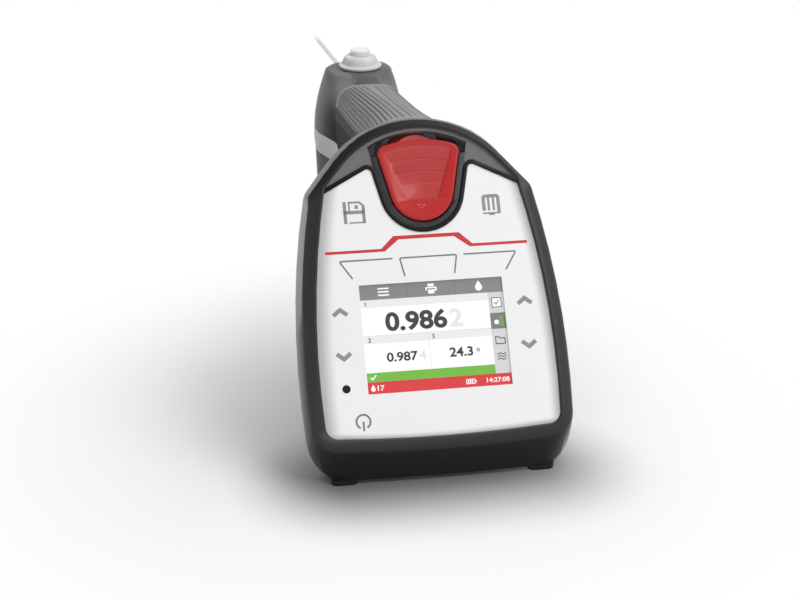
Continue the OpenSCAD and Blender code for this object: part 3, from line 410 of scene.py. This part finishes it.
KEYS = [name for name in NODES if name.startswith("key_") and name != "key_switches"]
FINISH = {
    ELASTOMER: ["bumper_frame", "front_feet"],
    GRIP_PLASTIC: ["grip_shell"],
    HOUSING: ["rear_shell", "leg_shell", "battery_door", "cylinder_cap", "tube_nut"],
    GRIP_RUBBER: ["grip_cover"],
    NOSE_PLASTIC: ["nose_shell"],
    PLATE_PLASTIC: ["front_plate"],
    BEZEL: ["thumb_well"],
    COLLAR_PLASTIC: ["cell_collar"],
    FOIL: ["keypad_foil"],
    BLACK_RUBBER: ["panel_gasket", "rear_foot", "piston_seal", "plug_seal"],
    WINDOW: ["display_window"],
    GLASS: ["measuring_cell"],
    TUBE: ["filling_tube"],
    HOSE: ["inner_hose"],
    PANEL_WHITE: ["lcd_module"],
    BOARD: ["main_board", "cell_board"],
    STEEL: ["key_switches", "housing_screws", "battery_contacts", "return_spring", "piston_rod", "cell_magnet"],
    SENSOR: ["light_sensor"],
    BATTERY: ["battery_cells"],
    RED: ["pump_button"],
    SLEEVE_RED: ["plunger_sleeve"],
    WHITE: ["guide_bush", "pump_cylinder", "piston", "cell_block", "inlet_fitting", "tube_ferrule", "port_plug", *KEYS],
    PALE_GREY: ["port_cap", "port_seat"],
    COPPER: ["exciter_coil"],
}
for material, names in FINISH.items():
    for name in names:
        NODES[name].data.materials.clear()
        NODES[name].data.materials.append(material)


# How near points are joined, and the edge angles, in degrees, over which an edge stays sharp and gets rounded
WELD_REACH = 1e-6
SHARP_OVER, ROUNDED_OVER = 32, 35
ROUNDING_STEPS = 3


def shading_group(name):
    """Modifier group that joins a mesh's split faces and shades them smooth, up to an edge angle."""
    group = bpy.data.node_groups.new(name, "GeometryNodeTree")
    group.interface.new_socket("Geometry", in_out="INPUT", socket_type="NodeSocketGeometry")
    group.interface.new_socket("Geometry", in_out="OUTPUT", socket_type="NodeSocketGeometry")
    make = group.nodes.new
    start, end = make("NodeGroupInput"), make("NodeGroupOutput")
    weld = make("GeometryNodeMergeByDistance")
    weld.inputs["Distance"].default_value = WELD_REACH
    bare = make("GeometryNodeRemoveAttribute")
    bare.inputs["Name"].default_value = "custom_normal"
    faces, edges = make("GeometryNodeSetShadeSmooth"), make("GeometryNodeSetShadeSmooth")
    edges.domain = "EDGE"
    edges.inputs["Shade Smooth"].default_value = False
    angle, sharp = make("GeometryNodeInputMeshEdgeAngle"), make("FunctionNodeCompare")
    sharp.inputs[1].default_value = math.radians(SHARP_OVER)
    steps = [start, weld, bare, faces, edges, end]
    for before, after in zip(steps, steps[1:]):
        group.links.new(before.outputs["Geometry"], after.inputs["Geometry"])
    group.links.new(angle.outputs["Unsigned Angle"], sharp.inputs[0])
    group.links.new(sharp.outputs["Result"], edges.inputs["Selection"])
    return group


SOFT_EDGES = shading_group("soft_edges")


def soften(piece, bevel_mm):
    """Shades a piece smooth between its edges, and rounds the edges by bevel_mm."""
    if bevel_mm:
        weld = piece.modifiers.new("weld", "WELD")
        weld.merge_threshold = WELD_REACH
        bevel = piece.modifiers.new("edge", "BEVEL")
        bevel.width = bevel_mm * MM
        bevel.segments = ROUNDING_STEPS
        bevel.limit_method = "ANGLE"
        bevel.angle_limit = math.radians(ROUNDED_OVER)
    piece.modifiers.new("shading", "NODES").node_group = SOFT_EDGES


# Rounding of the edges that show, in mm
EDGE = {"bumper_frame": 0.35, "panel_gasket": 0.3, "thumb_well": 0.25, "port_cap": 0.25, "port_seat": 0.2,
        "tube_nut": 0.25, "front_feet": 0.4, "rear_foot": 0.4, "battery_door": 0.3, "cell_collar": 0.25,
        "leg_shell": 0.3}
for name, node in NODES.items():
    soften(node, EDGE.get(name, 0.0))


def shown(name, vertices, faces, material, body, place):
    """A new mesh piece at a place, which rides on a body."""
    mesh = bpy.data.meshes.new(name)
    mesh.from_pydata(vertices, [], faces)
    mesh.validate()
    mesh.materials.append(material)
    piece = bpy.data.objects.new(name, mesh)
    bpy.context.scene.collection.objects.link(piece)
    piece.matrix_world = place
    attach(piece, body)
    return piece


def smooth(value):
    """0 below 0, 1 above 1, smooth between."""
    value = min(1.0, max(0.0, value))
    return value * value * (3 - 2 * value)


def reshaped(name, node, move, body, bevel_mm, cuts=0):
    """A copy of a frame node, finer if cuts are given, whose points move(point) shifts.
    It rides on the body and stands for the node.
    """
    form = bmesh.new()
    form.from_mesh(NODES[node].data)
    bmesh.ops.remove_doubles(form, verts=form.verts, dist=WELD_REACH)
    if cuts:
        bmesh.ops.triangulate(form, faces=form.faces)
        bmesh.ops.subdivide_edges(form, edges=form.edges, cuts=cuts, use_grid_fill=True)
    for point in form.verts:
        point.co = move(point.co)
    mesh = bpy.data.meshes.new(name)
    form.to_mesh(mesh)
    form.free()
    mesh.materials.clear()
    mesh.materials.append(NODES[node].data.materials[0])
    piece = bpy.data.objects.new(name, mesh)
    bpy.context.scene.collection.objects.link(piece)
    soften(piece, bevel_mm)
    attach(piece, body)
    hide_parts(node)
    return piece


# The thumb pad's face above the foil, the levels between which its fan lies, in mm, and the share of depth kept
PAD_RISE, FAN_DEEPEST, FAN_HIGHEST, FAN_SCALE = 1.4, -1.0, 0.5, 0.42


def pad_point(point):
    """Makes the thumb pad's fan shallower than its solid, so that its steps show as fine lines."""
    local = PANEL.inverted() @ point
    level = local.z / MM
    if FAN_DEEPEST < level < FAN_HIGHEST:
        local.z = (PAD_RISE - (PAD_RISE - level) * FAN_SCALE) * MM
    return PANEL @ local


# The slope of the nose's top, in mm: where it starts and how far it runs and drops, and the heights it fades between
SLOPE_FROM, SLOPE_RUN, SLOPE_DROP, SLOPE_POWER = 8.0, 25.0, 9.0, 1.3
SLOPE_LOW, SLOPE_HIGH = 80.0, 100.0


def nose_point(point):
    """Slopes the nose's top down behind the port, above the inlet."""
    back = max(0.0, (point.y / MM - SLOPE_FROM) / SLOPE_RUN)
    share = smooth((point.z / MM - SLOPE_LOW) / (SLOPE_HIGH - SLOPE_LOW))
    return point - Vector((0, 0, SLOPE_DROP * MM * back ** SLOPE_POWER * share))


reshaped("thumb_pad", "pump_button", pad_point, "pump", 0.3)
reshaped("nose_hull", "nose_shell", nose_point, "housing", 0.3, 1)

# The return spring as a copy on the housing, with the place of its far end by the bush, its length and the
# pad's stroke. Nothing here makes it shorten as the pad goes in.
spring = reshaped("pump_spring", "return_spring", lambda point: point, "housing", 0.0)
reaches = [point.co.dot(GRIP_AXIS) for point in spring.data.vertices]
far_end = middle("return_spring")
far_end += GRIP_AXIS * (max(reaches) - far_end.dot(GRIP_AXIS))
SPRING_LEN, PUMP_STROKE = max(reaches) - min(reaches), 10 * MM
1 - PUMP_STROKE / SPRING_LEN
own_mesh(spring)

# Height of a numeral in the built-in font, at size 1
NUMERAL_H = 0.73


class Marks:
    """Collects flat outlines, in mm on the panel's face, then makes one thin solid of them."""

    def __init__(self):
        self.points = []
        self.faces = []

    def patch(self, outline):
        """A filled convex outline."""
        start = len(self.points)
        self.points += outline
        self.faces.append(range(start, len(self.points)))

    def strip(self, left, right, closed=False):
        """A band between two rows of points."""
        start, count = len(self.points), len(left)
        self.points += left + right
        for i in range(count if closed else count - 1):
            j = (i + 1) % count
            self.faces.append((start + i, start + j, start + count + j, start + count + i))

    def line(self, route, width, closed=False):
        """A line of even width along a route, mitred at its bends."""
        left, right = [], []
        count = len(route)
        for i, (u, v) in enumerate(route):
            before = route[i - 1] if i or closed else None
            after = route[(i + 1) % count] if i + 1 < count or closed else None
            ways = [Vector((b[0] - a[0], b[1] - a[1])).normalized()
                    for a, b in ((before, (u, v)), ((u, v), after)) if a and b]
            way = sum(ways, Vector((0, 0))).normalized()
            half = width / 2 / max(0.3, way.dot(ways[0]))
            left.append((u - way.y * half, v + way.x * half))
            right.append((u + way.y * half, v - way.x * half))
        self.strip(left, right, closed)

    def box(self, u, v, width, height):
        """A filled box by its centre and size."""
        self.patch([(u - width / 2, v - height / 2), (u + width / 2, v - height / 2),
                    (u + width / 2, v + height / 2), (u - width / 2, v + height / 2)])

    def disc(self, u, v, radius, steps=40):
        self.patch(arc((u, v), radius, 0, 360, steps)[:-1])

    def numerals(self, text, u, v, height, weight=0.0, place=0.0, spread=1.12):
        """A row of numerals on the base line v, widened by spread. place 0 starts it at u, 1 ends it there."""
        curve = bpy.data.curves.new("numerals", "FONT")
        curve.body = text
        curve.offset = weight
        curve.resolution_u = 5
        holder = bpy.data.objects.new("numerals", curve)
        mesh = bpy.data.meshes.new_from_object(holder)
        low_x = min(p.co.x for p in mesh.vertices)
        wide = max(p.co.x for p in mesh.vertices) - low_x
        scale = height / NUMERAL_H
        start = len(self.points)
        self.points += [(u + (p.co.x - low_x - place * wide) * spread * scale, v + p.co.y * scale)
                        for p in mesh.vertices]
        self.faces += [[start + i for i in face.vertices] for face in mesh.polygons]
        bpy.data.objects.remove(holder)
        bpy.data.curves.remove(curve)
        bpy.data.meshes.remove(mesh)

    def make(self, name, material, level=0.02, thick=0.03, body="housing", slot="foil"):
        """The marks as a thin solid whose underside is at this level above the foil."""
        points = [(u * MM, v * MM, level * MM) for u, v in self.points]
        piece = shown(name, points, self.faces, material, body, PANEL)
        solid = piece.modifiers.new("film", "SOLIDIFY")
        solid.thickness = thick * MM
        solid.offset = 1.0


def arc(centre, radius, start, end, steps):
    """Points on an arc, both ends included, angles in degrees."""
    return [(centre[0] + radius * math.cos(math.radians(start + (end - start) * i / steps)),
             centre[1] + radius * math.sin(math.radians(start + (end - start) * i / steps)))
            for i in range(steps + 1)]


def rounded(route, radius, steps=6):
    """An open route with its inner corners rounded."""
    made = [route[0]]
    for before, corner, after in zip(route, route[1:], route[2:]):
        a, c, b = Vector(before), Vector(corner), Vector(after)
        start = c + (a - c).normalized() * radius
        end = c + (b - c).normalized() * radius
        for i in range(steps + 1):
            t = i / steps
            made.append(tuple(start * (1 - t) ** 2 + c * 2 * t * (1 - t) + end * t * t))
    made.append(route[-1])
    return made


INK_RED = printed("ink_red", srgb(200, 42, 48))
INK_GREY = printed("ink_grey", srgb(140, 140, 142))
INK_DARK = printed("ink_dark_grey", srgb(116, 116, 118))

# The red stripe across the panel, with its raised middle
STRIPE = [(-38.8, 33.5), (-16.9, 33.5), (-11.6, 38.0), (11.6, 38.0), (16.9, 33.5), (38.6, 33.5)]
STRIPE_HALF = [0.55, 0.55, 0.7, 0.7, 0.55, 0.55]
STRIPE_LEAN = [0.0, 0.6, 1.0, -1.0, -0.6, 0.0]
stripe = Marks()
stripe.strip([(u - lean, v + half) for (u, v), half, lean in zip(STRIPE, STRIPE_HALF, STRIPE_LEAN)],
             [(u + lean, v - half) for (u, v), half, lean in zip(STRIPE, STRIPE_HALF, STRIPE_LEAN)])
stripe.make("print_stripe", INK_RED)

# Open frames round the three soft keys
frames = Marks()
FRAME_LINE, FRAME_TOP, FRAME_R = 0.6, 30.1, 0.9
for side in (-1, 1):
    outer = [(side * 13.6, FRAME_TOP), (side * 33.8, FRAME_TOP), (side * 29.3, 23.2)]
    frames.line(rounded(outer, FRAME_R), FRAME_LINE)
inner = [(-9.5, 23.0), (-10.9, FRAME_TOP), (10.9, FRAME_TOP), (9.5, 23.0)]
frames.line(rounded(inner, FRAME_R), FRAME_LINE)
frames.make("print_soft_frames", INK_DARK)

# Small pointer on the thumb pad's foot
pointer = Marks()
pointer.line([(-2.2, 49.9), (0.6, 49.8), (-0.8, 48.4)], 0.28, True)
pointer.make("pad_pointer", printed("pad_print", srgb(214, 92, 94), 0.3), PAD_RISE - 0.01, 0.03, "pump", "red")

# Arrow chevrons beside the screen
chevrons = Marks()
ARROW_U, ARROW_HALF, ARROW_H, ARROW_LINE = 35.15, 2.65, 2.1, 1.6
for u in (-ARROW_U, ARROW_U):
    for tip, way in ((11.8, 1), (-6.8, -1)):
        foot = tip - way * ARROW_H
        chevrons.line([(u - ARROW_HALF, foot), (u, tip), (u + ARROW_HALF, foot)], ARROW_LINE)
chevrons.make("print_chevrons", INK_GREY)

# Power symbol, drawn to be read from the far side
power = Marks()
POWER_AT, POWER_R, POWER_BAR, POWER_LINE = (-30.1, -30.5), 2.6, 3.5, 0.72
power.line(arc(POWER_AT, POWER_R, -62, 242, 40), POWER_LINE)
power.line([POWER_AT, (POWER_AT[0], POWER_AT[1] - POWER_BAR)], POWER_LINE)
power.make("print_power", INK_DARK)

# Disk symbol of the save key: a spine, a case with a cut corner, its shutter and its label
disk = Marks()
DISK_LEFT, DISK_RIGHT, DISK_LOW, DISK_HIGH = -30.6, -22.3, 44.4, 52.9
SPINE_W, CASE_LINE, CASE_SIDE, BAND = 1.25, 0.75, 1.15, 1.3
CASE_LEFT, BAND_V = DISK_LEFT + 2.05, 48.7
disk.box(DISK_LEFT + SPINE_W / 2, (DISK_LOW + DISK_HIGH) / 2, SPINE_W, DISK_HIGH - DISK_LOW)
disk.patch([(CASE_LEFT, DISK_HIGH - CASE_LINE), (DISK_RIGHT - 2.1, DISK_HIGH - CASE_LINE),
            (DISK_RIGHT - 1.75, DISK_HIGH), (CASE_LEFT, DISK_HIGH)])
disk.patch([(DISK_RIGHT - 2.1, DISK_HIGH - CASE_LINE), (DISK_RIGHT - CASE_SIDE, DISK_HIGH - 1.8),
            (DISK_RIGHT, DISK_HIGH - 1.75), (DISK_RIGHT - 1.75, DISK_HIGH)])
disk.patch([(DISK_RIGHT - CASE_SIDE, DISK_LOW), (DISK_RIGHT, DISK_LOW), (DISK_RIGHT, DISK_HIGH - 1.75),
            (DISK_RIGHT - CASE_SIDE, DISK_HIGH - 1.8)])
disk.box((DISK_LEFT + DISK_RIGHT) / 2, BAND_V, DISK_RIGHT - DISK_LEFT - 0.2, BAND)
disk.box(CASE_LEFT + 0.3, (BAND_V + DISK_HIGH) / 2, 0.6, DISK_HIGH - BAND_V - 0.2)
disk.box(DISK_LEFT + 5.1, BAND_V + 2.0, 1.25, 1.5)
disk.box((CASE_LEFT + DISK_RIGHT) / 2, DISK_LOW + 0.28, DISK_RIGHT - CASE_LEFT, 0.55)
disk.make("print_disk", INK_GREY)

# Sheet symbol of the list key: a frame with bars, open at its foot
sheet = Marks()
SHEET_U, SHEET_V = 26.2, 48.9
SHEET_HALF, SHEET_LINE, SHEET_R = 2.85, 1.3, 0.9
SHEET_LEFT, SHEET_RIGHT, SHEET_TOP = SHEET_U - SHEET_HALF, SHEET_U + SHEET_HALF, SHEET_V + 3.2
sheet.line(rounded([(SHEET_LEFT, SHEET_V - 2.5), (SHEET_LEFT, SHEET_TOP), (SHEET_RIGHT, SHEET_TOP),
                    (SHEET_RIGHT, SHEET_V - 3.5)], SHEET_R), SHEET_LINE)
for offset in (-0.95, 0.95):
    sheet.box(SHEET_U + offset, SHEET_V + 0.35, 0.85, 5.7)
sheet.box(SHEET_U, SHEET_V - 3.5, 2 * SHEET_HALF + SHEET_LINE, 0.6)
sheet.box(SHEET_U, SHEET_V - 4.0, 2.3, 0.6)
sheet.make("print_sheet", INK_GREY)

# Screen: bars and fields on the display, numerals and small pictures on them
SCREEN_W, SCREEN_H = 54.6, 41.2
SCREEN_SIDE, SCREEN_TOP = SCREEN_W / 2, SCREEN_H / 2
FIELD_RIGHT = 21.5
TAB_LOW, HEADER_LOW = 14.9, 12.0
ROW_V, ROW_HEADER = 1.3, 3.0
DIVIDER_U = -2.6
GREEN_TOP, GREEN_LOW = -12.6, -16.1
SCREEN_GLOW = 0.08
# Levels of the screen's layers above the foil, and the layers' thickness
SHOW_BACK, SHOW_FIELD, SHOW_INK, SHOW_FILM = -0.645, -0.632, -0.619, 0.012
INK_SCREEN = {name: printed("screen_" + name, colour, 0.5, SCREEN_GLOW) for name, colour in {
    "tab": srgb(124, 124, 125), "tab_line": srgb(100, 100, 101), "header": srgb(228, 229, 230),
    "side": srgb(206, 207, 208), "side_dark": srgb(112, 113, 115), "line": srgb(205, 206, 207),
    "black": srgb(24, 24, 26), "faint": srgb(222, 223, 224), "green": srgb(106, 178, 44),
    "red": srgb(210, 30, 38), "white": srgb(252, 252, 252)}.items()}


def fields(name, ink, level, *boxes):
    """Filled boxes on the screen, each by its left, right, low and high edge."""
    marks = Marks()
    for left, right, low, high in boxes:
        marks.box((left + right) / 2, (low + high) / 2, right - left, high - low)
    marks.make("screen_" + name, INK_SCREEN[ink], level, SHOW_FILM, slot="display")


fields("tabs", "tab", SHOW_BACK, (-SCREEN_SIDE, SCREEN_SIDE, TAB_LOW, SCREEN_TOP))
fields("headers", "header", SHOW_BACK, (-SCREEN_SIDE, FIELD_RIGHT, HEADER_LOW, TAB_LOW),
       (-SCREEN_SIDE, FIELD_RIGHT, ROW_V - ROW_HEADER, ROW_V))
fields("side", "side", SHOW_BACK, (FIELD_RIGHT, SCREEN_SIDE, GREEN_LOW, TAB_LOW))
fields("done_bar", "green", SHOW_BACK, (-SCREEN_SIDE, FIELD_RIGHT, GREEN_LOW, GREEN_TOP))
fields("status_bar", "red", SHOW_BACK, (-SCREEN_SIDE, SCREEN_SIDE, -SCREEN_TOP, GREEN_LOW))
fields("side_choice", "side_dark", SHOW_FIELD, (FIELD_RIGHT, SCREEN_SIDE, 0.8, 6.9))
TAB_W = SCREEN_W / 3
fields("tab_lines", "tab_line", SHOW_FIELD, *[
    (u - 0.1, u + 0.1, TAB_LOW, SCREEN_TOP) for u in (-TAB_W / 2, TAB_W / 2)])
fields("rows", "line", SHOW_FIELD, (-SCREEN_SIDE, FIELD_RIGHT, ROW_V - 0.08, ROW_V + 0.08),
       (DIVIDER_U - 0.08, DIVIDER_U + 0.08, GREEN_TOP, ROW_V),
       (FIELD_RIGHT - 0.1, FIELD_RIGHT + 0.1, GREEN_LOW, TAB_LOW))

dark = Marks()
dark.numerals("0.986", 5.0, 3.0, 6.9, 0.032, 1.0)
dark.numerals("0.987", -7.4, -8.7, 3.4, 0.026, 1.0)
dark.numerals("24.3", 13.6, -8.5, 3.5, 0.026, 1.0)
# A small degree ring, and the numbers of the three fields in their headers
dark.line(arc((15.6, -6.6), 0.5, 0, 360, 20)[:-1], 0.28, True)
dark.numerals("1", -25.6, 12.6, 1.7, 0.01)
dark.numerals("2", -25.6, -1.1, 1.7, 0.01)
dark.numerals("3", -1.4, -1.1, 1.7, 0.01)
dark.make("screen_numerals", INK_SCREEN["black"], SHOW_INK, SHOW_FILM, slot="display")
faint = Marks()
faint.numerals("2", 5.9, 3.0, 6.9, 0.026)
faint.numerals("4", -6.8, -8.7, 3.4, 0.02)
faint.make("screen_last_digits", INK_SCREEN["faint"], SHOW_INK, SHOW_FILM, slot="display")

white = Marks()
# Tabs: lines of a list, a sheet leaving a printer, and a drop
for step in (-1, 0, 1):
    white.box(-TAB_W, 17.75 + step * 1.25, 4.2, 0.55)
white.line([(-1.9, 17.2), (-1.9, 18.2), (1.9, 18.2), (1.9, 17.2), (1.2, 17.2)], 0.5)
white.box(0, 19.2, 2.4, 1.0)
white.box(0, 16.7, 2.4, 1.5)
white.patch([(TAB_W, 19.9), *arc((TAB_W, 17.2), 1.35, 35, -215, 24)])
# Done bar: a tick. Status bar: a drop, a number, a battery and the time
white.line([(-25.9, -14.3), (-25.2, -15.1), (-23.7, -13.5)], 0.5)
white.patch([(-25.2, -16.9), *arc((-25.2, -18.7), 0.85, 35, -215, 20)])
white.numerals("17", -23.6, -19.3, 2.0, 0.02)
white.line([(10.0, -19.2), (10.0, -17.6), (13.2, -17.6), (13.2, -19.2)], 0.3, True)
for step in range(3):
    white.box(10.75 + step * 0.75, -18.4, 0.5, 1.1)
white.box(13.6, -18.4, 0.35, 0.8)
white.numerals("14:27:08", 26.4, -19.2, 1.75, 0.02, 1.0)
# Side column: the ground of a tick box, and a dot in the chosen field
SIDE_U = (FIELD_RIGHT + SCREEN_SIDE) / 2
white.box(SIDE_U, 10.9, 3.2, 3.2)
white.disc(SIDE_U - 0.7, 3.4, 0.9, 20)
white.make("screen_white", INK_SCREEN["white"], SHOW_INK, SHOW_FILM, slot="display")

# Its lines: the tick box, a folder and three waves
column = Marks()
column.line([(SIDE_U - 1.75, 9.15), (SIDE_U + 1.75, 9.15), (SIDE_U + 1.75, 12.65), (SIDE_U - 1.75, 12.65)], 0.3, True)
column.line([(SIDE_U - 1.7, -4.9), (SIDE_U - 1.7, -2.2), (SIDE_U - 0.6, -2.2), (SIDE_U - 0.1, -2.8),
             (SIDE_U + 1.8, -2.8), (SIDE_U + 1.8, -4.9)], 0.35, True)
for wave_v in (-8.7, -9.7, -10.7):
    column.line([(SIDE_U - 1.7, wave_v - 0.3), (SIDE_U - 0.6, wave_v + 0.3), (SIDE_U + 0.6, wave_v - 0.3),
                 (SIDE_U + 1.7, wave_v + 0.3)], 0.32)
column.make("screen_side_lines", INK_SCREEN["black"], SHOW_INK + SHOW_FILM, SHOW_FILM / 2, slot="display")
# Its green marks: the tick, and a bar beside the dot
tick = Marks()
tick.line([(SIDE_U - 0.9, 11.0), (SIDE_U - 0.2, 10.2), (SIDE_U + 1.0, 12.0)], 0.5)
tick.line([(SIDE_U + 0.7, 2.3), (SIDE_U + 0.7, 5.2), (SIDE_U + 1.6, 5.6), (SIDE_U + 1.6, 2.0)], 0.4, True)
tick.make("screen_ticks", INK_SCREEN["green"], SHOW_INK + SHOW_FILM, SHOW_FILM / 2, slot="display")

# Camera, at the photograph's viewing angle for an 800 by 600 frame, whose size is not set here
CAMERA_AT = Vector((-0.1169, -0.7908, 0.3227))
CAMERA_AZIMUTH, CAMERA_DROP = 9.71, 22.81
SENSOR_W, FOCAL = 36.0, 81.0
lens = bpy.data.cameras.new("camera")
lens.sensor_width = SENSOR_W
lens.lens = FOCAL
lens.clip_start = 0.01
camera = bpy.data.objects.new("camera", lens)
bpy.context.scene.collection.objects.link(camera)
camera.location = CAMERA_AT
camera.rotation_euler = (math.radians(90 - CAMERA_DROP), 0, math.radians(-CAMERA_AZIMUTH))
bpy.context.scene.camera = camera


def lamp(name, at, aim, power, width, height):
    """A soft rectangular lamp that faces a point."""
    data = bpy.data.lights.new(name, "AREA")
    data.shape = "RECTANGLE"
    data.size = width
    data.size_y = height
    data.energy = power
    made = bpy.data.objects.new(name, data)
    bpy.context.scene.collection.objects.link(made)
    made.location = at
    made.rotation_euler = (Vector(aim) - Vector(at)).to_track_quat("-Z", "Y").to_euler()


# Lamps, floor and world
AIM = (0, -0.1, 0.06)
lamp("key_lamp", (-0.45, 0.70, 0.80), AIM, 3.2, 0.6, 0.5)
lamp("top_lamp", (0.35, 0.05, 0.95), AIM, 4.4, 0.7, 0.7)
lamp("front_lamp", (0.75, -0.70, 1.00), AIM, 7.4, 0.8, 0.7)
lamp("low_lamp", (-0.30, -1.15, 0.30), AIM, 3.8, 0.8, 0.4)

FLOOR_HALF = 6.0
# The middle of the floor's shadow, and the distances from it over which the floor runs out to white
FLOOR_DARK_AT = (-0.02, -0.16, 0.0)
FLOOR_FADE = (0.05, 0.19)
# The floor's colour as it is seen, as it throws light back, and of its painted contact shadow close to the front feet
FLOOR_SEEN, FLOOR_BOUNCE, FLOOR_PAINTED_SHADOW = srgb(236), srgb(140), srgb(134)
# Painted contact shadow along the line of the front feet
FOOT_LINE_Y, FOOT_LINE_HALF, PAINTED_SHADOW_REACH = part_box("front_feet")[0].y, 0.036, 0.05
floor_mesh = bpy.data.meshes.new("floor")
floor_mesh.from_pydata([(x * FLOOR_HALF, y * FLOOR_HALF, 0) for x, y in ((-1, -1), (1, -1), (1, 1), (-1, 1))], [],
                       [(0, 1, 2, 3)])
floor = bpy.data.objects.new("floor", floor_mesh)
bpy.context.scene.collection.objects.link(floor)


def floor_finish():
    """Pale matte floor: it keeps the object's shadow nearby, has a painted contact shadow along the front feet,
    and runs out to white.
    """
    made, shader, place = surface("floor_white", Roughness=0.9, Specular_IOR_Level=0.0)
    tree = made.node_tree
    reach = place.add("ShaderNodeVectorMath", {"operation": "DISTANCE"}, {0: place, 1: FLOOR_DARK_AT}, "Value")
    seen = in_sight(tree)
    spot = place.add("ShaderNodeSeparateXYZ", None, {"Vector": place})
    across, ahead = spot, Tone(tree, spot.socket.node.outputs["Y"]) - FOOT_LINE_Y
    across = across.math("MAXIMUM", across.math("ABSOLUTE", across) - FOOT_LINE_HALF, 0.0)
    away = across.math("SQRT", across * across + ahead * ahead)
    # Painted contact shadow near the front feet, fading to the floor's own colour
    shown_floor = away.between(0.0, PAINTED_SHADOW_REACH).blend(FLOOR_PAINTED_SHADOW, FLOOR_SEEN)
    join(shader.inputs["Base Color"], seen.blend(FLOOR_BOUNCE, shown_floor))
    glow = place.add("ShaderNodeEmission", None, {"Strength": 1.0})
    mixed = place.add("ShaderNodeMixShader", None,
                      {0: reach.between(*FLOOR_FADE) * seen, 1: Tone(tree, shader.outputs[0]), 2: glow})
    join(tree.nodes["Material Output"].inputs["Surface"], mixed)
    return made


floor_mesh.materials.append(floor_finish())

world = bpy.data.worlds.new("studio")
bpy.context.scene.world = world
world.use_nodes = True
tree = world.node_tree
seen = in_sight(tree)
# White at the horizon, dimmer overhead, where only reflections see it
WORLD_LIGHT, OVERHEAD, OVERHEAD_FROM = 0.30, 0.25, (0.3, 0.75)
heading = Tone(tree, tree.nodes.new("ShaderNodeTexCoord").outputs["Generated"])
height = heading.add("ShaderNodeSeparateXYZ", None, {"Vector": heading}, "Z")
sky = 1 - height.between(*OVERHEAD_FROM) * (1 - OVERHEAD)
join(tree.nodes["Background"].inputs["Strength"], WORLD_LIGHT + seen * (sky - WORLD_LIGHT))
tree.nodes["Background"].inputs["Color"].default_value = (1, 1, 1, 1)

bpy.context.scene.view_settings.view_transform = "Standard"
